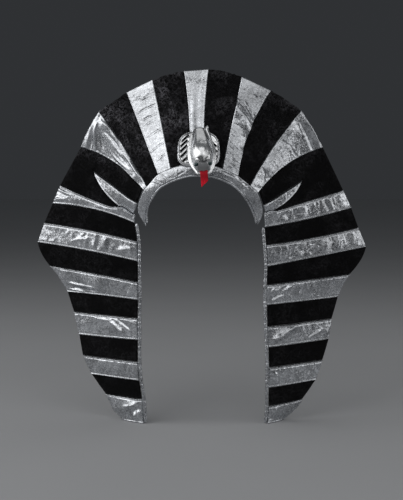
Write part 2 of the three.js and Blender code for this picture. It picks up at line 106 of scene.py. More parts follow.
# Seams from the left foot over the crown to the right foot: the stripe after each and its cloth, x and z at the
# face opening, x and z on the outline, the seam's sag and the stripe's bulge.
SEAMS = [
    ("lappet_left_01", "silver", -84, 0, -113, 0, 0, 2),
    ("lappet_left_02", "velvet", -86, 35, -140, 37.5, 0, 0),
    ("lappet_left_03", "silver", -90, 61, -160, 65, 0, 0),
    ("lappet_left_04", "velvet", -92, 88, -173, 92, 0, 0),
    ("lappet_left_05", "silver", -92, 119, -178, 121, 0, 0),
    ("lappet_left_06", "velvet", -92, 150, -186, 154, 0, 0),
    ("lappet_left_07", "silver", -91.5, 175.5, -195, 182.5, -1, -3),
    ("lappet_left_08", "velvet", -91.5, 201, -221, 220, -1.5, 3),
    ("lappet_left_09", "silver", -92, 230, -238, 253.5, -2, 0),
    ("lappet_left_10", "velvet", -92.5, 258.5, -228, 282, -2.5, 0),
    ("lappet_left_11", "silver", -96, 284, -216, 309, -6, 0),
    ("temple_left", "velvet", -95, 296, -204.5, 336, 2, 0),
    ("crown_01", "silver", -82.5, 331, -174, 390, -8.5, 2),
    ("crown_02", "velvet", -77.5, 336, -147, 441, -3, 0),
    ("crown_03", "silver", -62.5, 353, -108, 467, 0, 0),
    ("crown_04", "velvet", -44, 361.5, -70.5, 485, 0, 1),
    ("crown_05", "silver", -18, 367.5, -27, 496.5, -2.8, 0),
    ("crown_06", "velvet", 3, 367.5, 8, 499, 3.2, 2),
    ("crown_07", "silver", 26.5, 361, 54, 489, 0, 0),
    ("crown_08", "velvet", 48.5, 350.5, 96, 469.5, 7, 1),
    ("crown_09", "silver", 65, 337, 139, 442, 4, 2),
    ("temple_right", "velvet", 76, 327, 171, 389.5, 9, 0),
    ("lappet_right_11", "silver", 86, 297, 201, 328.5, 0, 0),
    ("lappet_right_10", "velvet", 87, 278, 213, 303, -2, 0),
    ("lappet_right_09", "silver", 89, 253.5, 223.5, 275, -2, 0),
    ("lappet_right_08", "velvet", 91, 223, 235, 247, 0, 4),
    ("lappet_right_07", "silver", 90, 197, 212, 208, 0, -2),
    ("lappet_right_06", "velvet", 90, 168.5, 194.5, 175, 0, 0),
    ("lappet_right_05", "silver", 91, 138, 185.5, 144, 0, 0),
    ("lappet_right_04", "velvet", 92.5, 108.5, 181, 114.5, 0, 0),
    ("lappet_right_03", "silver", 93.5, 80, 172, 85, 0, 0),
    ("lappet_right_02", "velvet", 93, 51, 162, 56.5, 0, 0),
    ("lappet_right_01", "silver", 93, 25, 142.5, 30, 0, 5),
    ("", "", 91, 0, 112, 0, 0, 0),
]
LAST = len(SEAMS) - 2
STRIPE = {row[0]: k for k, row in enumerate(SEAMS)}

# Each temple's tuck: where its leaf starts and ends at the temple, its tip across and out along the panel, and
# whether it is measured from the temple's first seam.
PLEATS = {
    "temple_left": (0.57, 0.98, 0.4, 0.71, False),
    "temple_right": (0.63, 0.98, 0.5, 0.59, True),
}

# A tuck's leaf: power of its edge's curve, the share of the tuck it fills, how far it tilts, its columns, the places
# of its creases across it and their half width, and the width from which it swells in full and by how much.
LEAF_CURVE = 2.2
LEAF_END = 0.96
LEAF_TILT = 1.5
LEAF_COLUMNS = 18
LEAF_LINES = (0.22, 0.4, 0.58, 0.76)
LEAF_LINE_HALF = 0.07
LEAF_FULL = 7
LEAF_SWELL = 0.35
LEAF_ROUND = 1.4
TUCK_LIMIT = 0.995

# Seams drawn up beside a tuck: place along the seam, how far up, half length.
DRAWN = {
    "temple_left": [(0.17, 5.5, 0.1)],
    "lappet_right_11": [(0.07, 3.0, 0.06)],
}

# Soft folds of the whole panel: a line from (x, z) to (x, z), its rise towards the front and half width.
FOLDS = [
    (-151, 343, -119, 308, 3.5, 10),
    (-155, 362, -98, 316, 3, 8),
    (-152, 356, -112, 316, -3, 7),
    (146, 342, 100, 304, 3.5, 9),
    (138, 352, 86, 314, 3, 8),
    (140, 343, 98, 313, -3, 6),
    (-140, 420, -95, 350, 3, 9),
    (122, 414, 92, 360, 3, 10),
    (42, 450, 66, 414, 5, 9),
    (70, 424, 62, 392, -4, 8),
    (-196, 205, -150, 196, 3, 10),
    (-128, 12, -94, 26, 3, 9),
    (128, 138, 100, 118, 3, 9),
]

# Creases pressed into each lamé stripe: (out along, across) at both ends, rise, half width and, for some, how far
# they bow, in millimetres.
CREASES = {
    "lappet_left_01": [
        (0.58, 0.61, 0.14, 0.82, 1.9, 2.7), (0.5, 0.42, 0.05, 0.7, -1.5, 2.7), (0.4, 0.14, 0.02, 0.5, 3.2, 5.5),
    ],
    "lappet_left_05": [
        (0.38, 0.96, 0.05, 0.29, -0.9, 2.0, -2.5), (0.5, 0.86, 0.16, 0.1, 1.9, 4.5),
        (0.26, 1.0, 0.02, 0.62, 1.3, 4.0), (0.7, 0.9, 0.4, 0.84, 1.0, 2.2),
    ],
    "lappet_left_07": [
        (0.96, 0.46, 0.44, 0.3, 2.3, 2.6, 1.2), (0.93, 0.28, 0.52, 0.18, -1.3, 2.0, 1.2),
        (0.98, 0.18, 0.66, 0.05, 1.4, 1.9, 0.6),
    ],
    "lappet_left_09": [
        (0.68, 0.26, 0.48, 0.62, 1.2, 2.4, -1.5), (0.55, 0.8, 0.61, 0.45, 0.9, 2.4),
        (0.5, 0.98, 0.52, 0.05, 0.9, 3.0, 0.8), (0.53, 0.94, 0.545, 0.5, -0.8, 2.2),
        (0.43, 0.98, 0.44, 0.02, 1.2, 3.2, -0.6), (0.39, 0.98, 0.395, 0.02, -1.3, 2.8, 0.5),
        (0.325, 0.98, 0.35, 0.02, 1.0, 4.0), (0.27, 0.9, 0.28, 0.2, -0.6, 2.6),
        (0.2, 0.3, 0.05, 0.55, 1.1, 4.6), (0.72, 0.98, 0.73, 0.5, 0.5, 2.0),
    ],
    "lappet_left_11": [
        (1.03, 0.13, 0.82, 0.36, 2.3, 1.6), (1.03, 0.34, 0.84, 0.44, 2.3, 1.5), (1.03, 0.58, 0.83, 0.54, 2.3, 1.5),
        (1.03, 0.84, 0.82, 0.74, 2.18, 1.6), (0.8, 0.3, 0.5, 0.34, -0.8, 4.0), (0.23, 0.88, 0.02, 0.84, 2.42, 3.3),
    ],
    "crown_01": [
        (0.985, 1.0, 0.935, -0.1, 2.6, 4.6), (0.95, 1.0, 0.86, -0.1, -1.6, 3.0), (0.95, 0.88, 0.79, 0.04, 2.6, 3.2),
        (0.79, 0.06, 0.7, -0.05, 1.2, 2.4), (0.93, 0.86, 0.66, 0.05, -1.2, 3.0), (0.94, 0.9, 0.55, 0.88, 2.0, 3.0),
        (0.6, 0.88, 0.05, 0.84, 1.6, 2.6), (0.86, 0.72, 0.5, 0.68, -1.4, 1.8), (0.7, 0.36, 0.3, 0.3, 0.9, 1.5),
        (0.66, 0.52, 0.26, 0.48, -0.8, 1.5), (0.5, 0.7, 0.08, 0.66, 0.8, 1.6),
    ],
    "crown_03": [
        (0.84, 0.3, 0.83, 0.82, -0.5, 1.0), (0.72, 0.06, 0.725, 1.0, -0.8, 1.1, -1.0),
        (0.62, 0.06, 0.62, 1.0, -0.8, 1.1, -1.2), (0.545, 0.12, 0.57, 1.0, -0.7, 1.1, -1.2),
        (0.41, 0.04, 0.445, 1.0, -0.8, 1.1, -1.2), (0.25, 0.04, 0.29, 1.0, -0.8, 1.1, -1.2),
        (0.13, 0.2, 0.165, 0.95, -0.7, 1.1, -1.0),
    ],
    "crown_05": [(0.1, 0.68, 0.96, 0.7, -0.5, 4.0), (0.12, 0.34, 0.8, 0.38, 0.9, 3.6)],
    "crown_07": [
        (0.735, 0.0, 0.7, 0.4, -1.1, 1.0), (0.71, 0.3, 0.6, 0.98, -1.5, 1.1), (0.78, 0.3, 0.63, 0.98, 1.5, 1.8),
        (0.66, 0.1, 0.56, 0.95, 0.7, 1.6), (0.9, 0.55, 0.855, 0.76, 0.8, 0.9), (0.945, 0.74, 0.88, 0.86, 0.8, 0.8),
        (0.43, 0.0, 0.4, 0.5, 0.6, 0.8), (0.37, 0.0, 0.335, 0.55, 0.6, 0.8), (0.31, 0.02, 0.26, 0.7, -0.7, 0.8),
        (0.25, 0.02, 0.2, 0.6, 0.6, 0.9), (0.16, 0.3, 0.11, 0.96, 0.7, 1.1), (0.1, 0.25, 0.05, 0.96, -0.9, 1.0),
    ],
    "crown_09": [
        (0.6, 0.04, 0.66, 0.5, -1.1, 1.3), (0.66, 0.5, 0.655, 0.97, -1.1, 1.3), (0.56, 0.44, 0.46, 0.6, -0.9, 1.1),
        (0.24, 0.03, 0.2, 0.5, -0.9, 1.3), (0.2, 0.5, 0.13, 0.95, -0.9, 1.3), (0.02, 0.2, 0.07, 0.9, -0.9, 1.2),
        (0.965, 0.0, 0.95, 1.1, 2.2, 3.8), (0.91, 0.15, 0.87, 1.05, -1.9, 3.0), (0.88, 0.18, 0.855, 0.46, -0.7, 1.1),
        (0.58, 0.1, 0.53, 0.32, 1.1, 1.1), (0.75, 0.75, 0.7, 0.97, -0.7, 1.1),
    ],
    "lappet_right_11": [
        (0.78, 0.0, 0.785, 1.0, 1.2, 3.4), (0.73, 0.1, 0.735, 1.0, -0.8, 3.0), (0.47, 0.0, 0.43, 1.0, 1.5, 5.0),
        (0.385, 0.2, 0.35, 1.0, -0.8, 3.4), (0.27, 0.0, 0.18, 1.0, 1.2, 4.2), (0.3, 0.03, 0.26, 0.5, 0.6, 1.6),
        (0.35, 0.03, 0.31, 0.55, 0.6, 1.6), (0.4, 0.03, 0.37, 0.5, 0.6, 1.6), (0.6, 0.03, 0.59, 0.5, 0.6, 1.6),
        (0.65, 0.03, 0.64, 0.45, 0.6, 1.6), (0.7, 0.03, 0.69, 0.5, 0.6, 1.6), (0.84, 0.03, 0.83, 0.6, 0.6, 1.6),
    ],
    "lappet_right_09": [
        (0.39, 0.0, 0.3, 1.0, 1.6, 5.2), (0.32, 0.05, 0.22, 0.95, -0.9, 3.6), (0.22, 0.05, 0.17, 0.8, 0.8, 2.6),
        (0.13, 0.1, 0.1, 0.9, 0.7, 2.4), (0.66, 0.0, 0.56, 1.0, 1.6, 5.0), (0.5, 0.05, 0.45, 0.95, -0.8, 4.0),
        (0.72, 0.05, 0.65, 0.95, -0.8, 2.2), (0.755, 0.05, 0.69, 0.95, 0.7, 2.0), (0.8, 0.2, 0.73, 1.0, 0.8, 2.0),
    ],
    "lappet_right_07": [
        (0.22, 0.04, 0.07, 0.42, 2.0, 2.4, -0.8), (0.33, 0.03, 0.14, 0.52, 2.3, 2.6, -1.4),
        (0.25, 0.1, 0.17, 0.7, -0.9, 1.9), (0.2, 0.56, 0.04, 0.86, 2.1, 2.5, -0.8),
        (0.11, 0.08, 0.04, 0.55, 1.5, 2.0), (0.44, 0.05, 0.4, 0.95, 0.8, 2.6), (0.5, 0.05, 0.46, 0.6, 0.6, 1.8),
        (0.58, 0.05, 0.56, 0.8, 0.6, 2.2), (0.96, 0.08, 0.9, 0.6, 0.9, 3.0),
    ],
    "lappet_right_05": [
        (0.02, 0.68, 0.42, 0.03, 3.0, 4.6), (0.08, 0.82, 0.44, 0.2, -1.0, 3.0), (0.58, 0.88, 0.88, 0.38, 1.6, 2.2),
        (0.985, 0.25, 0.93, 0.85, 1.3, 2.97),
    ],
    "lappet_right_03": [(0.4, 0.04, 0.38, 0.4, 1.04, 1.98), (0.1, 0.2, 0.14, 0.85, 1.04, 2.97)],
    "lappet_right_01": [(0.3, 0.15, 0.12, 0.7, 1.17, 2.97)],
}

# Form of a crease: how much it bends by itself, the share of its width on the steep side, and how far it runs on
# past its ends.
CREASE_BEND = 0.07
CREASE_STEEP = 0.7
CREASE_PAST = 0.1

# Gathers of lamé: their pull at a stripe's first and second seam, the slant of its drapes and their strength.
GATHERS = {
    "lappet_left": (0.5, 1.0, 0.0, 1.0),
    "crown": (0.5, 0.5, 0.0, 0.5),
    "lappet_right": (2.2, 0.5, 0.4, 1.0),
}

# Fine crumples: ranges of their slope, length, rise and half width, and the area for each or their number.
LAME_CRUMPLE = ((0.9, 2.2), (5, 16), (0.03, 0.14), (0.7, 1.6))
LAME_CRUMPLE_AREA = 120
BAND_CRUMPLE = ((-0.9, 0.9), (4, 13), (0.08, 0.32), (0.6, 1.4))
BAND_CRUMPLES = 70

# How lamé settles over the foam: the sheet's mesh in millimetres, how much longer than its stripe it is cut, the
# scale it is worked at, the frames it takes, how far it may sink or rise, how much of that each part of the
# headdress shows, and the cloth itself, which also grows a little all over.
SHEET_CELL = 1.6
SHEET_LONGER = 0.1
SHEET_SCALE = 20.0
SHEET_FRAMES = 30
SHEET_REACH = 2.4
SHEET_SLACK = {"lappet_left": 1.0, "crown": 0.35, "crown_01": 1.0, "lappet_right": 0.5}
SHEET_CLOTH = {
    "quality": 8,
    "mass": 0.3,
    "tension_stiffness": 20.0,
    "compression_stiffness": 20.0,
    "shear_stiffness": 8.0,
    "bending_stiffness": 0.15,
    "air_damping": 3.0,
    "shrink_min": -0.006,
}

# Topstitching: how far in from a seam, its step, and a stitch's half length and half thickness, in millimetres.
STITCH_IN = 2.7
STITCH_STEP = 3.3
STITCH_LONG = 1.1
STITCH_HALF = 0.42

# Brow band: x and z of its upper and of its lower edge, from the left tail to the right tail.
BAND = [
    (-81, 282, -79.5, 279.5),
    (-90, 298, -80, 297),
    (-90, 311, -77, 311),
    (-83, 329, -70, 322.5),
    (-73, 341, -61, 333.5),
    (-62.5, 352.5, -51, 340.5),
    (-44, 361.5, -36, 347.5),
    (-20.5, 367.5, -18.5, 352.5),
    (4, 367.5, 3, 352.5),
    (26.5, 361, 20.5, 349),
    (48.5, 350.5, 39.5, 340.5),
    (65, 337, 53, 329),
    (75.5, 327, 63, 316),
    (82, 309.5, 71, 301.5),
    (83, 296.5, 74.5, 290.5),
    (78.5, 284.5, 76, 282),
]
BAND_LONG = 300.0
BAND_WIDE = 14.0
BAND_STANDOFF = 5.6
BAND_LEAN = 3.2
BAND_HALF = 1.5
BAND_SWELL = 0.8
BAND_ROUND = 1.4
BAND_SEED = 77
BAND_GRIT_SEED = 41

# Creases of the band: (along, up) at both ends, rise and half width.
BAND_CREASES = [
    (0.285, 0.95, 0.31, 0.05, 0.8, 1.2), (0.3, 0.95, 0.325, 0.05, -0.7, 1.0), (0.4, 0.98, 0.46, 0.92, -0.5, 0.9),
    (0.43, 0.85, 0.42, 0.3, -0.6, 1.0), (0.345, 0.9, 0.355, 0.35, -0.9, 0.8), (0.37, 0.3, 0.4, 0.12, -0.7, 0.9),
    (0.41, 0.12, 0.45, 0.3, -0.7, 0.9), (0.12, 0.8, 0.2, 0.3, 0.5, 1.6), (0.6, 0.3, 0.84, 0.3, -1.2, 1.1),
    (0.66, 0.95, 0.69, 0.6, -1.0, 0.9), (0.755, 0.9, 0.79, 0.45, -1.2, 1.0), (0.6, 0.42, 0.84, 0.42, 0.7, 1.2),
    (0.6, 0.72, 0.74, 0.66, -0.6, 1.1), (0.72, 0.9, 0.74, 0.55, -1.3, 0.9), (0.82, 0.9, 0.93, 0.2, 0.6, 1.4),
    (0.63, 1.0, 0.68, 0.2, 1.2, 2.4), (0.7, 1.0, 0.77, 0.0, -1.6, 3.0), (0.755, 1.0, 0.83, 0.1, 1.4, 2.6),
    (0.88, 0.9, 0.97, 0.3, -0.6, 1.1),
]

# Rolls: half sizes towards a side and across, how deep a stitch draws them in and half the length it draws in, the
# piping's place below and before the band, and the bindings' place beside the opening and over the floor.
ROLL_SIDES = 20
ROLL_STITCH_HALF = 1.3
PIPING_HALVES = (1.6, 1.4)
PIPING_PINCH = 0.12
PIPING_BELOW = 1.7
PIPING_FORWARD = 1.2
PIPING_SEED = 5
BINDING_HALVES = (3.0, 2.5)
BINDING_PINCH = 0.22
BINDING_ASIDE = 2.8
BINDING_FOOT = 0.6

# Cobra, in its own frame: x across, z up the hood, and the front towards -y.
COBRA_AT = (-6.1, -31.6, 387.4)
COBRA_TILT = math.radians(27)
HOOD_CELLS = 96
HOOD_HALF = (29.2, 26.5)
HOOD_SQUARE = (2.7, 4.2)
HOOD_REACH = 27
HOOD_PLATE = 1.1
HOOD_BEAD = 2.5
HOOD_BEAD_IN = 1.6
HOOD_RIB = 0.9
HOOD_CUP = 0.9
SLOT_HALF = 1.6
SLOT_COUNT = 5
SLOT_PITCH = 8.0
SLOT_FROM_MID = 20.6
SLOT_DRAWN_IN = 2.5
SLOT_REACH = 5.6
SLOT_SLANT = 0.85
SLOT_DEEP = 16

# Its head: how it sits on the hood, how round it is, and rows of (z, half width, height) from nape to snout.
HEAD_SHIFT = 3.4
HEAD_ROLL = math.radians(-5.2)
HEAD_BACK = 4.3
HEAD_ROUND = 2.3
HEAD_DOME = 0.48
HEAD_ROWS = [
    (31, 7.5, 6),
    (24, 9.5, 10),
    (12, 12.5, 16),
    (0, 15.5, 21),
    (-12, 17, 24),
    (-22, 16, 23.5),
    (-31, 13, 20),
    (-37, 9.5, 15),
    (-41, 6.5, 10),
]
NAPE_Z = 31.0
SNOUT_Z = -43.0
HEAD_VOXEL = 0.0005
EYE_X = 9.6
EYE_Z = -31.5
EYE_RADIUS = 2.8
EYE_SINK = 0.4
JAW_POINTS = 240
JAW_HALF = 1.7
JAW_OUT = 0.6
JAW_LEVEL = 3.2
CHIN_Z = -42.0
HORN = (3.6, -1.0, 0.0)

# Its tongue: sizes, where it starts and leaves the mouth, and its fork: the start along it, its place across, how
# far it opens and the shorter prong's length.
TONGUE_WIDE = 11.0
TONGUE_LONG = 25
TONGUE_HALF = 0.8
TONGUE_TAPER = 0.12
TONGUE_LEVEL = 7.6
TONGUE_ROOT_Z = -36.0
TONGUE_LIP_Z = -43.5
TONGUE_DROPS = (7.2, 18.0)
TONGUE_COLUMNS = 24
TONGUE_ROWS = 60
FORK_FROM = 0.8
FORK_ACROSS = 0.36
FORK_OPEN = 0.02
FORK_SHORTER = 0.76

# Meshes: how far a slit's sides are moved apart, and how near two places count as one.
SLIT_HAIR = 1e-3
NEAR = 1e-5

# Stage: the floor's radius, the camera's place across, what the lights face, and the studio's colours low and high.
FLOOR_RADIUS = 9.0
CAMERA_X = -0.0021
SENSOR_WIDE = 36.0
LIT_POINT = (0, 0, 0.35)
SKY_LOW = (0.36, 0.385, 0.42, 1.0)
SKY_HIGH = (0.9, 0.95, 1.0, 1.0)

# Lights: name, bearing from the front and rise in degrees, distance, width, height, power and the share of it used.
LIGHTS = [
    ("key", -60, 30, 2.5, 3.4, 1.6, "key_power", 1.0),
    ("front", -5, 48, 2.4, 1.8, 1.8, "front_power", 1.0),
    ("fill", 46, 29, 2.5, 3.4, 1.5, "fill_power", 1.0),
    ("left", -95, 12, 2.2, 1.8, 1.2, "side_power", 1.0),
    ("right", 88, 8, 2.2, 1.7, 1.2, "side_power", 0.9),
    ("low", -58, 4, 2.4, 2.4, 0.6, "side_power", 0.15),
    ("top", 180, 65, 1.8, 2.0, 1.4, "top_power", 1.0),
]


# Shader values


def set_all(target, values):
    for key, value in values.items():
        setattr(target, key, value)


class Field:
    """A value over a surface: a node's output, with arithmetic that adds the nodes that work it out."""

    def __init__(self, tree, socket=None):
        self.tree = tree
        self.socket = socket

    def add(self, kind, inputs=None, out=0, **settings):
        """Adds a node of this kind with its settings, then its inputs, and returns one of its outputs."""
        node = self.tree.nodes.new("ShaderNode" + kind)
        set_all(node, settings)
        feed(self.tree, node, inputs or {})
        return Field(self.tree, node.outputs[out])

    def math(self, operation, first, second):
        return self.add("Math", {0: first, 1: second}, operation=operation)

    def vector(self, operation, first, second):
        return self.add("VectorMath", {0: first, 1: second}, operation=operation)

    def __add__(self, other):
        return self.math("ADD", self, other)

    __radd__ = __add__

    def __sub__(self, other):
        return self.math("SUBTRACT", self, other)

    def __rsub__(self, other):
        return self.math("SUBTRACT", other, self)

    def __mul__(self, other):
        return self.math("MULTIPLY", self, other)

    __rmul__ = __mul__

    def __abs__(self):
        return self.math("ABSOLUTE", self, 0.0)

    def between(self, low, high):
        """0 below low, 1 above high, smooth between them."""
        spread = {"Value": self, "From Min": low, "From Max": high}
        return self.add("MapRange", spread, interpolation_type="SMOOTHSTEP")

    def blend(self, first, second):
        """The first colour where this value is 0, the second where it is 1."""
        return self.add("Mix", {0: self, 6: first, 7: second}, out=2, data_type="RGBA")

    def noise(self, scale, **more):
        """Noise over this place."""
        return self.add("TexNoise", {"Vector": self, "Scale": scale, **more})

    def axis(self, name):
        """One coordinate of this place."""
        return self.add("SeparateXYZ", {"Vector": self}, out=name)

    def bump(self, strength, distance, **more):
        """The normal of a surface with this height."""
        return self.add("Bump", {"Strength": strength, "Distance": distance, "Height": self, **more})


def feed(tree, node, inputs):
    """Gives a node its inputs: fields are linked, plain values are set."""
    for key, value in inputs.items():
        if isinstance(value, Field):
            tree.links.new(value.socket, node.inputs[key])
        else:
            node.inputs[key].default_value = value


def finish(name, sockets, colour):
    """A material whose shader sockets come from sockets(place, colour)."""
    material = bpy.data.materials.new(name)
    material.use_nodes = True
    tree = material.node_tree
    place = Field(tree).add("TexCoord", out="Object")
    feed(tree, tree.nodes["Principled BSDF"], sockets(place, colour))
    return material


def rgba(colour, shade=1.0):
    return (*(part * shade for part in colour), 1.0)


def lame_sockets(place, colour):
    """Silver lamé: crackled foil on a fine knit, crumpled and dulled in clouds."""
    cracks = {"Vector": place, "Scale": 300.0}
    crackle = place.add("TexVoronoi", cracks, out="Distance", feature="DISTANCE_TO_EDGE")
    flakes = {"Vector": place, "Scale": 620.0}
    turned = place.add("TexVoronoi", flakes, out="Color")
    facet = place.add("TexVoronoi", flakes, out="Distance")
    flake = place.add("SeparateColor", {"Color": turned}, out="Red")
    lean = place.vector("SUBTRACT", turned, (0.5, 0.5, 0.5))
    lean = place.add("VectorMath", {0: lean, "Scale": 0.17}, operation="SCALE")
    facing = place.vector("ADD", place.add("NewGeometry", out="Normal"), lean)
    facing = place.vector("NORMALIZE", facing, (0.0, 0.0, 0.0))
    crumpled = place.noise(420.0, Detail=3.0, Roughness=0.6)
    dull = place.noise(60.0, Detail=4.0, Roughness=0.6).between(0.35, 0.7)
    broad = place.noise(30.0, Detail=2.0, Distortion=0.8).between(0.36, 0.64)
    worn = crackle.between(0.0, 0.05)
    bright = worn * 0.08 + dull * 0.16 + broad * 0.3 + flake * flake * 0.56
    height = crackle.between(0.0, 0.1) * 0.3 + crumpled + facet * 0.35
    return {
        "Base Color": bright.blend(rgba(colour, 0.42), rgba(colour, 1.28)),
        "Metallic": 1.0,
        "Roughness": 0.22 + dull * 0.05 + flake * 0.08,
        "Normal": height.bump(0.3, 0.0004, Normal=facing),
    }


def velvet_sockets(place, colour):
    """Crushed black velvet: nap brushed in streaks and patches, with painted sheen high up on its lit side."""
    crush = place.noise(260.0, Detail=4.0, Roughness=0.7, Distortion=1.2)
    patch = place.noise(34.0, Detail=3.0).between(0.4, 0.62)
    nap = place.noise(75.0, Detail=5.0, Distortion=1.6)
    streak = (1 - abs(nap - 0.5) * 18.0).between(0.0, 1.0)
    pile = place.noise(1300.0, Detail=2.0)
    # Painted sheen: the nap's colour is made lighter high up and on the left, where the key light falls on it.
    high = place.axis("Z").between(0.34, 0.44)
    lit = place.axis("X").between(0.03, -0.06)
    brushed = (crush.between(0.42, 0.72) * 0.8 + streak * 0.45) * (0.2 + 0.8 * patch)
    nap_and_painted_sheen = brushed * (0.1 + 0.9 * high * (0.25 + 0.75 * lit))
    return {
        "Base Color": nap_and_painted_sheen.blend(rgba(colour, 0.2), rgba(colour, 15.0)),
        "Roughness": 0.92,
        "Specular IOR Level": 0.1,
        "Sheen Weight": 0.05,
        "Sheen Roughness": 0.4,
        "Sheen Tint": rgba((0.62, 0.6, 0.62)),
        "Normal": (pile * 0.6 + crush * 0.9).bump(0.7, 0.0008),
    }


def plated_sockets(place, colour):
    """Metallised plastic: bright, with faint ripples and hazy patches, and a painted dark reflection down the middle
    of the face.
    """
    haze = place.noise(140.0, Detail=4.0)
    # Painted dark reflection: the middle of the snout is painted darker, as if it mirrored dark surroundings; the
    # hazy patches are the plastic's own.
    front = place.axis("Y").between(-0.043, -0.06)
    low = place.axis("Z").between(0.388, 0.358)
    painted_dark_reflection = front * low * abs(place.axis("X") - 0.0014).between(0.0105, 0.006)
    haze_and_painted_reflection = painted_dark_reflection * 0.8 + haze.between(0.35, 0.75) * 0.2
    return {
        "Base Color": haze_and_painted_reflection.blend(rgba(colour), rgba(colour, 0.2)),
        "Metallic": 0.96,
        "Roughness": 0.17 + haze.between(0.3, 0.8) * 0.12,
        "Normal": place.noise(260.0, Detail=2.0).bump(0.12, 0.0004),
    }


def bead_sockets(place, colour):
    """Glossy glass-like bead, with a faint swirl."""
    swirl = place.noise(500.0, Detail=2.0).between(0.35, 0.7)
    return {
        "Base Color": swirl.blend(rgba(colour, 0.5), rgba(colour, 1.3)),
        "Roughness": 0.07,
        "Coat Weight": 0.6,
    }


def felt_sockets(place, colour):
    """Pressed felt: matted fibres in two strengths of red, with painted shadow darkening it towards the mouth."""
    matted = place.noise(900.0, Detail=4.0, Roughness=0.7)
    cloud = place.noise(180.0, Detail=2.0).between(0.3, 0.7)
    # Painted shadow: the top of the tongue, under the snout, is painted darker.
    hanging = place.axis("Z").between(0.35, 0.342)
    shade = (matted.between(0.3, 0.75) * 0.6 + cloud * 0.4) * (0.1 + 0.9 * hanging)
    return {
        "Base Color": shade.blend(rgba(colour, 0.45), rgba(colour, 1.3)),
        "Roughness": 0.95,
        "Sheen Weight": 0.1,
        "Sheen Roughness": 0.5,
        "Sheen Tint": rgba((1.0, 0.5, 0.5)),
        "Normal": matted.bump(0.7, 0.0005),
    }


def thread_sockets(place, colour):
    """Spun thread: a fine twist along its strands."""
    twist = place.add("TexWave", {"Vector": place, "Scale": 900.0, "Distortion": 2.0}, out="Fac")
    return {
        "Base Color": twist.blend(rgba(colour, 0.6), rgba(colour, 1.1)),
        "Roughness": 0.5,
        "Sheen Weight": 0.3,
        "Normal": twist.bump(0.5, 0.0002),
    }


def floor_sockets(place, colour):
    """Pale matt floor with the faintest mottling."""
    mottle = place.noise(3.0, Detail=4.0)
    return {"Base Color": mottle.blend(rgba(colour, 0.96), rgba(colour, 1.04)), "Roughness": 0.8}


# Each finish: how its sockets are made, and which of the chosen colours it takes.
FINISHES = {
    "silver_lame": (lame_sockets, "silver"),
    "black_velvet": (velvet_sockets, "velvet"),
    "plated": (plated_sockets, "plated"),
    "bead": (bead_sockets, "bead"),
    "felt": (felt_sockets, "felt"),
    "thread": (thread_sockets, "thread"),
}


def cloth(context, name):
    """The named finish, made at its first use from the colours chosen."""
    shown = f"{name}_finish"
    if shown not in bpy.data.materials:
        sockets, colour = FINISHES[name]
        finish(shown, sockets, getattr(context.scene.headdress_colours, colour))
    return bpy.data.materials[shown]


# Shaping


def mix(a, b, t):
    return a + (b - a) * t


def smooth(low, high, x):
    t = np.clip((x - low) / (high - low), 0.0, 1.0)
    return t * t * (3 - 2 * t)


def arch(t):
    return 4 * t * (1 - t)


def bell(x, at, half):
    """1 at a place, falling off to both sides."""
    return np.exp(-(((x - at) / half) ** 2))


def from_ends(t):
    """How far t is from the nearer of 0 and 1."""
    return np.minimum(t, 1 - t)


def unit(vectors):
    return vectors / np.linalg.norm(vectors, axis=-1, keepdims=True)


def off_line(px, pz, x0, z0, x1, z1):
    """Distance from the line between two points."""
    dx, dz = x1 - x0, z1 - z0
    t = np.clip(((px - x0) * dx + (pz - z0) * dz) / (dx * dx + dz * dz), 0, 1)
    return np.hypot(px - x0 - t * dx, pz - z0 - t * dz)


def rounded(d, radius, least):
    """Half a round edge: least at the edge, 1 from the radius inwards."""
    inside = np.clip(d / radius, 0, 1)
    return least + (1 - least) * np.sqrt(1 - (1 - inside) ** 2)


def clustered(t, pull=0.55):
    """Spreads 0 to 1 so that steps are finer towards both ends."""
    return t - pull * np.sin(2 * math.pi * t) / (2 * math.pi)


def through(points, t):
    """A smooth curve through the points, for t from 0 to 1."""
    points = np.asarray(points, float)
    held = np.vstack([2 * points[0] - points[1], points, 2 * points[-1] - points[-2]])
    x = np.clip(t, 0, 1) * (len(points) - 1)
    i = np.minimum(x.astype(int), len(points) - 2)
    f = (x - i)[:, None]
    a, b, c, d = held[i], held[i + 1], held[i + 2], held[i + 3]
    return 0.5 * (2 * b + (c - a) * f + (2 * a - 5 * b + 4 * c - d) * f**2 + (3 * b - a - 3 * c + d) * f**3)


def run_of(path):
    """Length along a path at each of its points."""
    return np.concatenate([[0], np.cumsum(np.linalg.norm(np.diff(path, axis=0), axis=1))])


def beside_path(path, side):
    """Directions at each point of a path: across it, and off it towards side."""
    ahead = unit(np.gradient(path, axis=0))
    off = unit(side - ahead * np.sum(side * ahead, axis=1, keepdims=True))
    return np.cross(off, ahead), off


def seed_of(name):
    return sum((i + 1) * ord(c) for i, c in enumerate(name)) % 9973


def wander(points, scale, seed):
    """Smooth noise from -1 to 1 at points in millimetres."""
    shift = Vector((seed * 7.31, seed * 3.17, seed * 1.73))
    return np.array([noise.noise(Vector(p) / scale + shift) for p in points])


def grain(points, seed, layers):
    """Layers of smooth noise, each (size, rise, shift of the seed)."""
    return sum(wander(points, scale, seed + shift) * rise for scale, rise, shift in layers)


# The panel's surface


def opening_depth(x, z):
    across = np.minimum(1.0, np.abs(np.asarray(x, float) - BROW_MID_X) / TEMPLE_HALF)
    return -BROW_REACH * np.sqrt(1 - across * across) * smooth(TEMPLE_Z, BROW_Z, z)


def outline_depth(z):
    if z < WING_Z:
        return mix(FOOT_BACK, WING_BACK, math.sin(math.pi / 2 * z / WING_Z))
    high = math.cos(math.pi / 2 * min(1.0, (z - WING_Z) / (TOP_Z - WING_Z)))
    return mix(CREST_BACK, WING_BACK, high)


def drawn_up(k, v):
    """How far a seam is drawn up at v along it."""
    rows = DRAWN.get(SEAMS[k][0], [])
    return sum((rise * bell(v, at, half) for at, rise, half in rows), np.zeros_like(v))


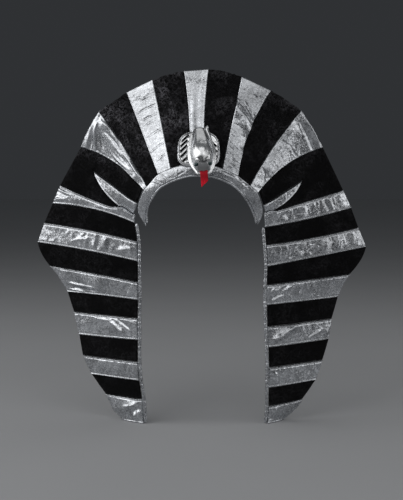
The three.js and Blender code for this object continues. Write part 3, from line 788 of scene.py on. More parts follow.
def seam(k, v):
    """Points of seam k, from 0 at the face opening to 1 on the outline."""
    _, _, inner_x, inner_z, outer_x, outer_z, bow, _ = SEAMS[k]
    out = np.clip(v, 0.0, 1.0)
    up = math.copysign(1, outer_x - inner_x) * drawn_up(k, v)
    aside = (bow * arch(out) + up) / math.hypot(outer_x - inner_x, outer_z - inner_z)
    crown = smooth(TEMPLE_Z, BROW_Z, inner_z)
    reach = mix(out**LAPPET_CUP, 1 - (1 - out) ** CROWN_SCOOP, crown)
    rolled = EDGE_ROLL * smooth(EDGE_FROM, 2 - EDGE_FROM, v)
    depth = mix(opening_depth(inner_x, inner_z), outline_depth(outer_z), reach) + rolled
    x = mix(inner_x, outer_x, v) - (outer_z - inner_z) * aside
    z = mix(inner_z, outer_z, v) + (outer_x - inner_x) * aside
    return np.stack([x, depth, z], axis=-1)


def seam_normal(k, v):
    step = 0.02
    start = np.maximum(0.0, v)
    beside = seam(min(len(SEAMS) - 1, k + 1), v) - seam(max(0, k - 1), v)
    normal = np.cross(beside, seam(k, start + step) - seam(k, start - step))
    if k in (0, len(SEAMS) - 1):
        normal[:, 2] = 0
    return unit(normal)


def seam_span(k):
    """From a seam's end at the face opening to its end on the outline."""
    inner, outer = seam(k, np.array([0.0, 1.0]))
    return outer - inner


def off_floor(k, u):
    """Share of a stripe's width between u and the floor, for the two stripes that stand on it."""
    if k == 0:
        return u
    return 1 - u if k == LAST else np.ones_like(u)


def panel(k, u, v):
    """Middle of the cloth and its front direction, at u across stripe k and v out along it."""
    uu = u[:, None]
    here = mix(seam(k, v), seam(k + 1, v), uu)
    out = unit(mix(seam_normal(k, v), seam_normal(k + 1, v), uu))
    outward = seam_span(k) * np.array([1.0, 0.0, 1.0])
    bulge = SEAMS[k][7] * arch(u) * np.maximum(0.0, v) ** BULGE_POWER
    here = here + unit(outward) * bulge[:, None]
    rise = sum(
        tall * bell(off_line(here[:, 0], here[:, 2], *ends), 0.0, half) for *ends, tall, half in FOLDS
    )
    shown = np.minimum(1.0, off_floor(k, u) / HEM_SHARE) * smooth(0.0, FOLD_START, v)
    return here + out * (rise * shown)[:, None], out


def stripe_width(k, v):
    return np.linalg.norm(seam(k + 1, v) - seam(k, v), axis=1)


def stripe_size(k):
    """Length and mean width of a stripe."""
    ends = np.array([0.0, 0.5, 1.0])
    middle = 0.5 * (seam(k, ends) + seam(k + 1, ends))
    return np.linalg.norm(middle[2] - middle[0]), stripe_width(k, ends).mean()


# Meshes


def mesh_from(name, bm):
    mesh = bpy.data.meshes.new(name)
    bm.to_mesh(mesh)
    bm.free()
    return mesh


def add_object(name, data):
    obj = bpy.data.objects.new(name, data)
    bpy.context.scene.collection.objects.link(obj)
    return obj


def unit_grid(across, along):
    """A flat grid: x from 0 to 1 across, y from 0 to 1 along."""
    bm = bmesh.new()
    bmesh.ops.create_grid(bm, x_segments=across, y_segments=along, size=0.5)
    bmesh.ops.translate(bm, verts=bm.verts, vec=(0.5, 0.5, 0))
    return bm


def cut_slit(bm, column, end):
    """Parts a grid along a column as far as end, and moves the slit's sides a hair apart."""
    line = [e for e in bm.edges if all(abs(v.co.x - column) < NEAR and v.co.y < end + NEAR for v in e.verts)]
    bmesh.ops.split_edges(bm, edges=line)
    for vert in bm.verts:
        if abs(vert.co.x - column) < NEAR and vert.co.y < end - NEAR:
            side = sum(f.calc_center_median().x - column for f in vert.link_faces)
            vert.co.x += math.copysign(SLIT_HAIR, side)


def places(mesh):
    values = np.zeros(len(mesh.vertices) * 3)
    mesh.vertices.foreach_get("co", values)
    return values.reshape(-1, 3)


def with_places(name, bm):
    """A closed mesh that faces outwards, and its points."""
    bmesh.ops.recalc_face_normals(bm, faces=bm.faces)
    mesh = mesh_from(name, bm)
    return mesh, places(mesh)


def pad_mesh(name, across, along, slit=None):
    """A closed pad: x from 0 to 1 across, y from 0 to 1 along, z 0 on its back and 1 on its front.
    A slit runs up the column nearest slit[0] as far as slit[1]."""
    bm = unit_grid(across, along)
    if slit:
        cut_slit(bm, round(slit[0] * across) / across, slit[1])
    made = bmesh.ops.extrude_face_region(bm, geom=bm.faces[:], use_keep_orig=True)
    front = [g for g in made["geom"] if isinstance(g, bmesh.types.BMVert)]
    bmesh.ops.translate(bm, verts=front, vec=(0, 0, 1))
    return with_places(name, bm)


def tube_mesh(name, around, along):
    """A closed tube along z from 0 to 1 with a unit radius."""
    bm = bmesh.new()
    raised = Matrix.Translation((0, 0, 0.5))
    bmesh.ops.create_cone(
        bm, cap_ends=True, cap_tris=False, segments=around, radius1=1, radius2=1, depth=1, matrix=raised
    )
    sides = [e for e in bm.edges if abs(e.verts[0].co.z - e.verts[1].co.z) > 0.5]
    bmesh.ops.subdivide_edges(bm, edges=sides, cuts=along - 1)
    return with_places(name, bm)


def shade_smooth(mesh):
    mesh.polygons.foreach_set("use_smooth", np.ones(len(mesh.polygons), dtype=bool))


def place(mesh, points_mm):
    """Sets the mesh's points, given in the panel's millimetres."""
    mesh.vertices.foreach_set("co", ((points_mm + SEAT) * MM).ravel())
    mesh.update()
    shade_smooth(mesh)


def over_floor(points):
    points[:, 2] = np.maximum(points[:, 2], 0.0)
    return points


def laid(grid, middle, out, front, back):
    """Points of a pad whose front and back lie this far before and behind the middle of the cloth."""
    return over_floor(middle + out * np.where(grid[:, 2] > 0.5, front, -back)[:, None])


def add_piece(name, mesh, material, nodes):
    """Shows a mesh as a piece that rides on the headdress and stands for CAD nodes."""
    obj = add_object(name, mesh)
    mesh.materials.clear()
    mesh.materials.append(material)
    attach(obj, "root")
    if nodes:
        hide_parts(*nodes)
    return obj


def worked(mesh, *changes):
    """The mesh after modifiers, each given as (type, settings)."""
    obj = add_object("blank", mesh)
    for kind, settings in changes:
        set_all(obj.modifiers.new(kind, kind), settings)
    bpy.context.view_layer.update()
    made = bpy.data.meshes.new_from_object(obj.evaluated_get(bpy.context.evaluated_depsgraph_get()))
    bpy.data.objects.remove(obj)
    return made


# Creases


def crease(s, t, s0, t0, s1, t1, half, bow=None):
    """A pressed crease, bent a little or by its bow, steeper on one side and thinning towards both ends.
    Places are in millimetres on the stripe."""
    ds, dt = s1 - s0, t1 - t0
    long = math.hypot(ds, dt)
    at = np.clip(((s - s0) * ds + (t - t0) * dt) / long**2, -CREASE_PAST, 1 + CREASE_PAST)
    if bow is None:
        bow = CREASE_BEND * long * math.sin(1.7 * s0 + 2.9 * t1)
    across = ((s - s0) * dt - (t - t0) * ds) / long + bow * arch(at)
    width = np.where(across < 0, half, CREASE_STEEP * half) * (0.7 + 0.4 * np.maximum(0, arch(at)))
    fade = smooth(-CREASE_PAST, 0.35, at) * (1 - smooth(0.65, 1 + CREASE_PAST, at))
    return bell(across, 0.0, width) * fade * (0.8 + 0.2 * np.sin(9 * at + 3 * s0))


def crumple(draw, s, t, s0, t0, slopes, lengths, rises, halves):
    """A small crease up or down from a place, drawn from these ranges."""
    angle, long = draw.uniform(*slopes), draw.uniform(*lengths)
    tall = draw.choice((-1, 1)) * draw.uniform(*rises)
    s1, t1 = s0 + long * math.cos(angle), t0 + long * math.sin(angle)
    return tall * crease(s, t, s0, t0, s1, t1, draw.uniform(*halves))


def pressed(k, s, t, strength):
    """Rise of the creases pressed into a stripe. Places are s out along the stripe and t across from its
    middle line, in millimetres."""
    length = stripe_size(k)[0]
    rise = np.zeros_like(s)
    for s0, t0, s1, t1, tall, half, *bow in CREASES.get(SEAMS[k][0], []):
        wide = stripe_width(k, np.array([s0, s1]))
        ends = (s0 * length, (t0 - 0.5) * wide[0], s1 * length, (t1 - 0.5) * wide[1])
        rise += strength * tall * crease(s, t, *ends, half, *bow)
    return rise


def gathered(k, s, t, here):
    """Rise of the small gathers at both seams, of the drapes between them and of the fine crumpling."""
    stripe = SEAMS[k][0]
    draw = random.Random(seed_of(stripe))
    length = stripe_size(k)[0]
    first, second, slanted, strength = GATHERS[stripe[:-3]]
    rise = np.zeros_like(s)
    for from_seam, pull in ((here / 2 + t, first), (here / 2 - t, second)):
        where = 2.0
        while where < length - 4:
            reach = draw.uniform(2.0, 7.0)
            half = draw.uniform(0.9, 1.8)
            slant = draw.uniform(-0.5, 0.5)
            tall = pull * draw.uniform(0.15, 0.6)
            rise += tall * np.exp(-(((s - where - slant * from_seam) / half) ** 2) - from_seam / reach)
            where += draw.uniform(3.0, 7.5)
    wide = stripe_width(k, np.array([0.5]))[0]
    where = draw.uniform(3.0, 8.0)
    while where < length - 5:
        lean = draw.uniform(-0.1, 0.25) - slanted
        from_t, to_t = draw.uniform(-0.6, -0.3) * wide, draw.uniform(0.2, 0.6) * wide
        tall = draw.choice((-1, 1)) * draw.uniform(0.1, 0.4) * strength
        ends = (where - lean * from_t, from_t, where + lean * (to_t - from_t), to_t)
        rise += tall * crease(s, t, *ends, draw.uniform(1.6, 3.6))
        where += draw.uniform(5.0, 12.0)
    for _ in range(int(length * wide / LAME_CRUMPLE_AREA)):
        s0 = draw.uniform(0, length)
        t0 = draw.uniform(-0.5, 0.5) * stripe_width(k, np.array([s0 / length]))[0]
        rise += crumple(draw, s, t, s0, t0, *LAME_CRUMPLE)
    return rise


# Lamé settling over its foam


def laid_sheet(k, strength):
    """A sheet of lamé as it is first laid over a stripe's foam, creased and held along its rim."""
    length, wide = stripe_size(k)
    columns, rows = max(8, round(wide / SHEET_CELL)), round(length / SHEET_CELL)
    mesh = mesh_from("sheet", unit_grid(columns, rows))
    u, v = places(mesh)[:, :2].T
    middle, out = panel(k, u, v)
    here = stripe_width(k, v)
    inside = np.minimum(from_ends(u) * here, from_ends(v) * length)
    s, t = v * length, (u - 0.5) * here
    rise = (pressed(k, s, t, strength) + gathered(k, s, t, here)) * smooth(0.0, 3.0, inside)
    start = middle + out * rise[:, None]
    along_it = unit(seam_span(k) + seam_span(k + 1))
    cut = start + np.outer((start @ along_it) * SHEET_LONGER, along_it)
    mesh.vertices.foreach_set("co", (start * MM * SHEET_SCALE).ravel())
    mesh.update()
    sheet = add_object("sheet", mesh)
    sheet.shape_key_add(name="laid")
    as_cut = sheet.shape_key_add(name="cut")
    as_cut.data.foreach_set("co", (cut * MM * SHEET_SCALE).ravel())
    rim = sheet.vertex_groups.new(name="rim")
    rim.add(np.flatnonzero(inside < 1e-3).tolist(), 1.0, "REPLACE")
    settle = sheet.modifiers.new("settle", "CLOTH")
    settle.collision_settings.use_collision = False
    settle.point_cache.frame_start, settle.point_cache.frame_end = 1, SHEET_FRAMES
    set_all(settle.settings, SHEET_CLOTH)
    settle.settings.vertex_group_mass = "rim"
    settle.settings.rest_shape_key = as_cut
    settle.settings.effector_weights.gravity = 0.0
    return sheet, start, out, (rows + 1, columns + 1)


def settled(strength):
    """How far every lamé stripe's sheet rises as it settles, as a table over the stripe."""
    rise = {}
    scene = bpy.context.scene
    sheets = {k: laid_sheet(k, strength) for k in range(LAST + 1) if SEAMS[k][1] == "silver"}
    for step in range(1, SHEET_FRAMES + 1):
        scene.frame_set(step)
    made = bpy.context.evaluated_depsgraph_get()
    for k, (sheet, start, out, shape) in sheets.items():
        points = places(sheet.evaluated_get(made).data) / MM / SHEET_SCALE
        moved = np.sum((points - start) * out, axis=1)
        rise[k] = SHEET_REACH * np.tanh(moved / SHEET_REACH).reshape(shape)
        bpy.data.objects.remove(sheet)
    scene.frame_set(1)
    return rise


def spread(table, u, v):
    """Smooth values of a table over a stripe, at u across its columns and v along its rows."""
    parts = []
    for at, count in ((v, table.shape[0]), (u, table.shape[1])):
        x = np.clip(at, 0, 1) * (count - 1)
        i = np.minimum(x.astype(int), count - 2)
        f = x - i
        weights = ((1 - f) ** 3, 3 * f**3 - 6 * f**2 + 4, 1 + 3 * f + 3 * f**2 - 3 * f**3, f**3)
        parts.append([(np.clip(i + n - 1, 0, count - 1), w / 6) for n, w in enumerate(weights)])
    return sum(wr * wc * table[row, column] for row, wr in parts[0] for column, wc in parts[1])


# Stripes, temples and leaves


def add_stripe(k, material, sizes, settled_rise):
    """A padded stripe of lamé or velvet. Returns the lines along which it is topstitched."""
    stripe, kind = SEAMS[k][:2]
    silver, crown = kind == "silver", stripe.startswith("crown")
    length, wide = stripe_size(k)
    cell = (sizes.silver_cell if silver else sizes.velvet_cell) / MM
    columns, rows = max(12, round(wide / cell)), round(length / cell)
    name = f"{stripe}_{kind}"
    mesh, grid = pad_mesh(name, columns, rows)
    w = clustered(grid[:, 0])
    start = -TUCK / length if crown else 0.0
    v = mix(start, 1.0, clustered(grid[:, 1], 0.35))
    here = stripe_width(k, v)
    inset = GAP / 2 / here
    u = mix(np.where(k == 0, 0.0, inset), 1 - np.where(k == LAST, 0.0, inset), w)
    middle, out = panel(k, u, v)
    to_seam = from_ends(w) * here
    edge = np.minimum(to_seam, np.minimum(v - start, 1 - v) * length)
    calm = smooth(0.0, 1.8, edge)
    seed = seed_of(stripe)
    grit = grain(middle, seed, STRIPE_GRIT)
    hem = np.maximum(0, 1 - off_floor(k, u) / HEM_SHARE) * (HEM_THICK - SEAM_THICK) / 2
    thick = sizes.pillow / MM * arch(w) + hem
    if silver:
        thick += SEAM_THICK / 2 * rounded(edge, LAME_ROUND, EDGE_LEAST)
        s, t = v * length, (w - 0.5) * here
        folds = gathered(k, s, t, here) + pressed(k, s, t, sizes.crease)
        if k in settled_rise:
            folds += spread(settled_rise[k], u, v) * SHEET_SLACK.get(stripe, SHEET_SLACK[stripe[:-3]])
        sewn = BEAD_ON_CROWN if crown else 1.0
        gather = 0.7 + 0.3 * np.sin(2 * math.pi * s / BEAD_STEP + 1.5 * np.sin(s / 11.0 + seed))
        bead = sizes.edge_bead / MM * sewn * gather * bell(to_seam, BEAD_IN, BEAD_HALF)
        groove = sizes.stitch_groove / MM * sewn * bell(to_seam, STITCH_IN, BEAD_HALF)
        detail = (folds + grit * 0.08 + grain(middle, seed, STRIPE_SWAY)) * calm + bead - groove
    else:
        thick += (SEAM_THICK / 2 - VELVET_THIN) * rounded(edge, VELVET_ROUND, EDGE_LEAST)
        detail = grit * 1.5 * calm
        if crown:
            fray = grain(middle, seed, STRIPE_FRAY) * smooth(0.95, 1.0, v)
            middle = middle + unit(seam_span(k)) * fray[:, None]
    if k in (0, LAST):
        detail = detail * smooth(0.0, 0.12, off_floor(k, u))
    points = laid(grid, middle, out, thick + detail, thick - 0.5 * grit * calm)
    place(mesh, points)
    obj = add_piece(f"{stripe}_cloth", mesh, material, [name])
    if silver and not crown:
        return stitch_lines(grid, points, out, (rows + 1, columns + 1))
    return []


def stitch_lines(grid, points, out, shape):
    """The two topstitched lines of a stripe: points on its front, a few millimetres in from each seam, and
    the front direction there. The grid has shape (rows, columns)."""
    rows, columns = shape
    front = grid[:, 2] > 0.5
    row = np.rint(grid[front, 1] * (rows - 1)).astype(int)
    column = np.rint(grid[front, 0] * (columns - 1)).astype(int)
    table, facing = np.zeros((2, rows, columns, 3))
    table[row, column] = points[front]
    facing[row, column] = out[front]
    w = clustered(np.linspace(0, 1, columns))
    at = STITCH_IN / np.linalg.norm(table[:, -1] - table[:, 0], axis=1)
    every = np.arange(rows)
    lines = []
    for across in (at, 1 - at):
        x = np.interp(across, w, np.arange(columns))
        i = np.minimum(x.astype(int), columns - 2)
        lines.append((mix(table[every, i], table[every, i + 1], (x - i)[:, None]), facing[every, i]))
    return lines


def sew(thread, line, facing):
    """Adds a row of stitches along a line."""
    bm = bmesh.new()
    run = run_of(line)
    ahead = unit(np.gradient(line, axis=0))
    where = STITCH_STEP
    while where < run[-1] - STITCH_STEP:
        i = int(np.searchsorted(run, where))
        side = unit(np.cross(facing[i], ahead[i]))
        axes = (ahead[i] * STITCH_LONG, side * STITCH_HALF, facing[i] * STITCH_HALF, line[i] + SEAT)
        placed = Matrix([[axis[n] * MM for axis in axes] for n in range(3)] + [[0, 0, 0, 1]])
        bmesh.ops.create_uvsphere(bm, u_segments=6, v_segments=4, radius=1.0, matrix=placed)
        where += STITCH_STEP
    row = mesh_from("stitch_row", bm)
    thread.from_mesh(row)
    bpy.data.meshes.remove(row)


def tuck(stripe, v, reach):
    """Both edges of a temple's tuck, across the panel at v out along it."""
    root_from, root_to, tip, _, first = PLEATS[stripe]
    along = np.clip(v / reach, 0, 1)
    upper = mix(root_from, tip, along)
    lower = upper + (root_to - root_from) * (1 - along**LEAF_CURVE)
    k = STRIPE[stripe]
    drawn = drawn_up(k + 1 if first else k, v) / stripe_width(k, v)
    upper, lower = (np.minimum(x / (1 - drawn), TUCK_LIMIT) for x in (upper, lower))
    return (upper, lower) if first else (1 - lower, 1 - upper)


def add_temple(k, material, sizes):
    """A velvet temple, slit along its tuck."""
    stripe = SEAMS[k][0]
    length, wide = stripe_size(k)
    cell = sizes.velvet_cell / MM
    rows, columns = round(length / cell), 2 * round(wide / cell / 2)
    tip_row = round((PLEATS[stripe][3] - TEMPLE_CLEAR) / (1 - TEMPLE_CLEAR) * rows) / rows
    mesh, grid = pad_mesh(f"{stripe}_velvet", columns, rows, slit=(0.5, tip_row))
    v = mix(TEMPLE_CLEAR, 1.0, grid[:, 1])
    reach = mix(TEMPLE_CLEAR, 1.0, tip_row)
    low, high = tuck(stripe, v, reach)
    first = grid[:, 0] < 0.5
    w = np.clip(np.where(first, grid[:, 0] * 2, grid[:, 0] * 2 - 1), 0, 1)
    here = stripe_width(k, v)
    inset = GAP / 2 / here
    u = np.where(first, mix(inset, low, w), mix(high, 1 - inset, w))
    middle, out = panel(k, u, v)
    to_slit = np.hypot(np.where(first, low - u, u - high) * here, np.maximum(0, v - reach) * length)
    to_end = np.minimum(v - TEMPLE_CLEAR, 1 - v) * length
    edge = np.minimum(np.minimum(from_ends(u) * here, to_slit), to_end)
    pillow = sizes.pillow / MM * mix(arch(w), arch(u), smooth(reach, min(1.0, reach + 0.2), v))
    thick = (SEAM_THICK / 2 - VELVET_THIN) * rounded(edge, VELVET_ROUND, EDGE_LEAST) + pillow
    grit = grain(middle, seed_of(stripe), TEMPLE_GRIT) * smooth(0, 4, edge)
    place(mesh, laid(grid, middle, out, thick + grit, thick))
    obj = add_piece(f"{stripe}_cloth", mesh, material, [f"{stripe}_velvet"])


def add_leaf(k, material, sizes):
    """The silver leaf that fills a temple's tuck, creased along its length."""
    stripe = SEAMS[k][0]
    reach, first = PLEATS[stripe][3:]
    end = LEAF_END * reach
    length = stripe_size(k)[0]
    rows = round((end - TEMPLE_CLEAR) * length / (sizes.silver_cell / MM))
    mesh, grid = pad_mesh(f"{stripe}_pleat", LEAF_COLUMNS, rows)
    w = clustered(grid[:, 0])
    v = mix(TEMPLE_CLEAR, end, clustered(grid[:, 1], 0.4))
    low, high = tuck(stripe, v, reach)
    here = stripe_width(k, v)
    across = (high - low) * here
    low, high = low + GAP / here, high - GAP / here
    out = panel(k, mix(low, high, w), v)[1]
    middle = mix(panel(k, low, v)[0], panel(k, high, v)[0], w[:, None])
    edge = np.minimum(from_ends(w) * across, np.minimum(v - TEMPLE_CLEAR, end - v) * length)
    seed = seed_of(stripe)
    draw = random.Random(seed)
    lines = np.zeros_like(v)
    for at in LEAF_LINES:
        drift = at + 0.07 * np.sin(v * length / draw.uniform(9, 16) + draw.uniform(0, 6))
        lines += draw.uniform(0.15, 0.35) * bell(w, drift, LEAF_LINE_HALF)
    tilt = LEAF_TILT * (1 - 2 * w if first else 2 * w - 1)
    detail = (lines + grain(middle, seed, LEAF_GRIT) + tilt) * smooth(0, 2.5, edge)
    swell = np.minimum(across / LEAF_FULL, 1.0) * arch(w) * LEAF_SWELL
    thick = SEAM_THICK / 2 * rounded(edge, LEAF_ROUND, EDGE_LEAST) + swell
    place(mesh, laid(grid, middle, out, thick + detail, thick))
    obj = add_piece(f"{stripe}_leaf", mesh, material, [f"{stripe}_pleat"])


# Band and edges


def band_edges(t):
    """Upper and lower edge of the brow band, and its front direction."""
    edges = []
    for column in (0, 2):
        x, z = np.array([row[column : column + 2] for row in BAND], float).T
        edges.append(through(np.stack([x, opening_depth(x, z) - BAND_STANDOFF, z], axis=1), t))
    ahead = sum(np.gradient(edge, axis=0) for edge in edges)
    return edges[0], edges[1], unit(np.cross(ahead, edges[0] - edges[1]))


def band_lean(t):
    """How far the band's lower edge stands forward of its upper edge."""
    return BAND_LEAN * smooth(0.0, 0.12, t) * (1 - 0.75 * smooth(0.44, 0.6, t)) * smooth(0.0, 0.12, 1 - t)


def add_band(material, sizes):
    """The folded brow band."""
    cell = sizes.silver_cell / MM
    rows = round(BAND_LONG / cell)
    mesh, grid = pad_mesh("brow_band", round(BAND_WIDE / cell) + 8, rows)
    w, t = clustered(1 - grid[:, 0]), grid[:, 1]
    row = np.rint(t * rows).astype(int)
    upper, lower, out = (line[row] for line in band_edges(np.linspace(0, 1, rows + 1)))
    middle = mix(lower, upper, w[:, None]) + out * (band_lean(t) * (1 - w))[:, None]
    edge = np.minimum(from_ends(w) * np.linalg.norm(upper - lower, axis=1), from_ends(t) * BAND_LONG)
    s, up = t * BAND_LONG, w * BAND_WIDE
    rise = np.zeros_like(t)
    for s0, t0, s1, t1, tall, half in BAND_CREASES:
        ends = (s0 * BAND_LONG, t0 * BAND_WIDE, s1 * BAND_LONG, t1 * BAND_WIDE)
        rise += tall * crease(s, up, *ends, half)
    draw = random.Random(BAND_SEED)
    for _ in range(BAND_CRUMPLES):
        s0, t0 = draw.uniform(0, BAND_LONG), draw.uniform(0, BAND_WIDE)
        rise += crumple(draw, s, up, s0, t0, *BAND_CRUMPLE)
    detail = (rise + grain(middle, BAND_GRIT_SEED, BAND_GRIT)) * smooth(0, 2.4, edge)
    least = mix(0.75, 0.15, smooth(0.1, 0.3, w))
    thick = BAND_HALF * rounded(edge, BAND_ROUND, least) + BAND_SWELL * arch(w)
    place(mesh, laid(grid, middle, out, thick + detail, thick))
    obj = add_piece("brow_band_cloth", mesh, material, ["brow_band"])


def add_roll(name, path, side, halves, material, pinch, seed):
    """A padded roll along a path, drawn in where it is stitched. Its halves are half its size towards side
    and half its size across."""
    rows = len(path) - 1
    mesh, grid = tube_mesh(name, ROLL_SIDES, rows)
    row = np.rint(grid[:, 2] * rows).astype(int)
    across, off = (line[row] for line in beside_path(path, side))
    run = run_of(path)
    swell = rounded(np.minimum(run, run[-1] - run), max(halves), 0.12)
    draw = random.Random(seed)
    where = 3.0
    while where < run[-1]:
        swell -= pinch * draw.uniform(0.4, 1.0) * bell(run, where, ROLL_STITCH_HALF)
        where += draw.uniform(5.0, 9.0)
    swell = np.maximum(swell, 0.1)[row]
    aside, outwards = grid[:, 0] * halves[1] * swell, grid[:, 1] * halves[0] * swell
    points = path[row] + across * aside[:, None] + off * outwards[:, None]
    points = over_floor(points + across * grain(points, seed, ROLL_GRIT)[:, None])
    place(mesh, points)
    obj = add_piece(f"{name}_roll", mesh, material, [name])


def add_piping(material):
    """The narrow roll on the band's lower edge."""
    t = np.linspace(0.02, 0.98, 280)
    upper, lower, out = band_edges(t)
    path = lower + unit(lower - upper) * PIPING_BELOW + out * (band_lean(t) + PIPING_FORWARD)[:, None]
    add_roll("brow_piping", path, -out, PIPING_HALVES, material, PIPING_PINCH, PIPING_SEED)


def add_binding(name, rows, aside, material):
    """The roll down the inner edge of a lappet, past the inner ends of these seams."""
    x, z = np.array([row[2:4] for row in rows], float).T
    z = np.maximum(BINDING_FOOT, z)
    path = through(np.stack([x + aside, opening_depth(x, z), z], axis=1), np.linspace(0, 1, 260))
    add_roll(name, path, FRONT, BINDING_HALVES, material, BINDING_PINCH, seed_of(name))


# Cobra


def from_hood(points):
    """Hood frame to the panel's millimetres."""
    x, y, z = np.asarray(points, float).T
    c, s = math.cos(COBRA_TILT), math.sin(COBRA_TILT)
    return np.stack([x, y * c + z * s, -y * s + z * c], axis=1) + np.array(COBRA_AT)


def from_head(points):
    """Head frame to the panel's millimetres."""
    x, y, z = np.asarray(points, float).T
    c, s = math.cos(HEAD_ROLL), math.sin(HEAD_ROLL)
    return from_hood(np.stack([x * c + z * s + HEAD_SHIFT, y, -x * s + z * c], axis=1))


def slot_lines():
    """Middle lines of the hood's slots: (x, z) at both ends."""
    lines = []
    for side in (-1, 1):
        for i in range(SLOT_COUNT):
            z = (i - (SLOT_COUNT - 1) / 2) * SLOT_PITCH
            mid = side * (SLOT_FROM_MID - SLOT_DRAWN_IN * (z / SLOT_PITCH / 2) ** 2)
            dx, dz = -side * SLOT_REACH * math.cos(SLOT_SLANT), SLOT_REACH * math.sin(SLOT_SLANT)
            lines.append((mid - dx, z - dz, mid + dx, z + dz))
    return lines


def slot_cutter():
    """Round-ended bars that cut the hood's slots."""
    bm = bmesh.new()
    round_bar = {"cap_ends": True, "segments": 20, "radius1": SLOT_HALF, "radius2": SLOT_HALF, "depth": SLOT_DEEP}
    for x0, z0, x1, z1 in slot_lines():
        lean = math.atan2(z1 - z0, x1 - x0)
        for vert in bmesh.ops.create_cone(bm, **round_bar)["verts"]:
            x, y, deep = vert.co
            end_x, end_z = (x1, z1) if x > 0 else (x0, z0)
            px = end_x + x * math.cos(lean) - y * math.sin(lean)
            pz = end_z + x * math.sin(lean) + y * math.cos(lean)
            vert.co = Vector((from_hood([(px, -deep, pz)])[0] + SEAT) * MM)
    bmesh.ops.recalc_face_normals(bm, faces=bm.faces)
    return add_object("slots", mesh_from("slots", bm))


def add_hood(material):
    """The cupped hood, with a rolled rim and slots between its ribs."""
    mesh, grid = pad_mesh("cobra_hood", HOOD_CELLS, HOOD_CELLS)
    a, b = grid[:, 0] * 2 - 1, grid[:, 1] * 2 - 1
    x, z = a * np.sqrt(1 - b * b / 2), b * np.sqrt(1 - a * a / 2)
    to_rim = (1 - np.hypot(x, z)) * HOOD_REACH
    turn = np.arctan2(z, x)
    power = mix(*HOOD_SQUARE, smooth(0.5, -0.5, np.sin(turn)))
    square = (np.abs(np.cos(turn)) ** power + np.abs(np.sin(turn)) ** power) ** (-1 / power)
    x, z = x * square * HOOD_HALF[0], z * square * HOOD_HALF[1]
    off_slot = np.min([off_line(x, z, *line) for line in slot_lines()], axis=0) - SLOT_HALF
    bead = HOOD_BEAD * bell(to_rim, HOOD_BEAD_IN, 0.9)
    rib = HOOD_RIB * (1 - np.exp(-(np.maximum(off_slot, 0) ** 2) / 1.6))
    rib = rib * smooth(10, 13, np.abs(x)) * smooth(3, 5, to_rim)
    cup = -HOOD_CUP * (x / HOOD_HALF[0]) ** 2 * smooth(0, 3, to_rim)
    edge = rounded(to_rim, 1.8, 0.25)
    front, back = -HOOD_PLATE - (HOOD_PLATE + bead + rib) * edge, -HOOD_PLATE + HOOD_PLATE * edge
    y = np.where(grid[:, 2] > 0.5, front, back) + cup
    place(mesh, from_hood(np.stack([x, y, z], axis=1)))
    cutter = slot_cutter()
    made = worked(mesh, ("BOOLEAN", {"operation": "DIFFERENCE", "object": cutter, "solver": "EXACT"}))
    bpy.data.objects.remove(cutter)
    shade_smooth(made)
    made.set_sharp_from_angle(angle=math.radians(45))
    add_piece("cobra_hood_plated", made, material, ["cobra_hood"])


def head_size(z):
    """Half width and height of the head at z."""
    fine = through(HEAD_ROWS[::-1], np.linspace(0, 1, 200))
    return np.interp(z, fine[:, 0], fine[:, 1]), np.interp(z, fine[:, 0], fine[:, 2])


def head_top(r):
    """Height of the head's section at r of its half width."""
    return np.maximum(0, 1 - np.abs(r) ** HEAD_ROUND) ** HEAD_DOME


def blunt(over, length, radius):
    """Draws an end in over its last length, as part of a round."""
    return np.sqrt(np.clip(1 - (np.clip(over, 0, length) / radius) ** 2, 0, 1))


def head_dome():
    """A long dome with brow ridges, eye sockets, nose and a lid line."""
    dome, grid = tube_mesh("cobra_dome", 96, 120)
    turn = np.arctan2(grid[:, 1], grid[:, 0])
    z = mix(SNOUT_Z, NAPE_Z, grid[:, 2])
    half, tall = head_size(np.maximum(z, HEAD_ROWS[-1][0]))
    shrink = blunt(-36 - z, 7, 7.2) * blunt(z - 25, 6, 6.5)
    side = np.sign(np.cos(turn)) * np.abs(np.cos(turn)) ** 0.8
    x = half * side * shrink
    lift = np.where(np.sin(turn) > 0, head_top(np.abs(side)), 0.0)
    from_eye = np.hypot(np.abs(x) - EYE_X, z - EYE_Z)
    brow = 1.4 * bell(np.abs(x), 8.5, 3.2) * bell(z, -24.5, 4.5)
    socket = 1.5 * bell(from_eye, 4.1, 1.0) - 1.3 * bell(from_eye, 0.0, 2.8)
    nose = 0.9 * bell(x, 0.0, 3.0) * bell(z, -35, 6)
    lid = -2.0 * bell(z, -2, 0.9) * smooth(4.2, 2.6, np.abs(x - 3.0))
    y = -HEAD_BACK - tall * lift * shrink - (brow + socket + nose + lid) * lift
    place(dome, from_head(np.stack([x, y, z], axis=1)))
    return dome


def head_jaw():
    """The roll round the jaw, from the horn past the chin to the other side of the neck."""
    z, half, _ = np.array(HEAD_ROWS, float).T
    level = -HEAD_BACK - JAW_LEVEL
    right = np.stack([half + JAW_OUT, np.full(len(z), level), z], axis=1)
    left = (right * np.array([-1, 1, 1]))[::-1]
    chin = np.array([[0, level, CHIN_Z]])
    path = through(np.vstack([right[:1] + HORN, right[1:], chin, left[:-1]]), np.linspace(0, 1, JAW_POINTS))
    last = JAW_POINTS - 1
    jaw, grid = tube_mesh("cobra_jaw", 16, last)
    row = np.rint(grid[:, 2] * last).astype(int)
    across, off = beside_path(path, FRONT)
    at = np.arange(JAW_POINTS)
    thick = JAW_HALF * rounded(np.minimum(at, last - at), 14, 0.4) + 0.9 * bell(at, 18, 12)
    ring = across[row] * grid[:, :1] * 1.25 + off[row] * grid[:, 1:2]
    place(jaw, from_head(path[row] + ring * thick[row][:, None]))
    return jaw


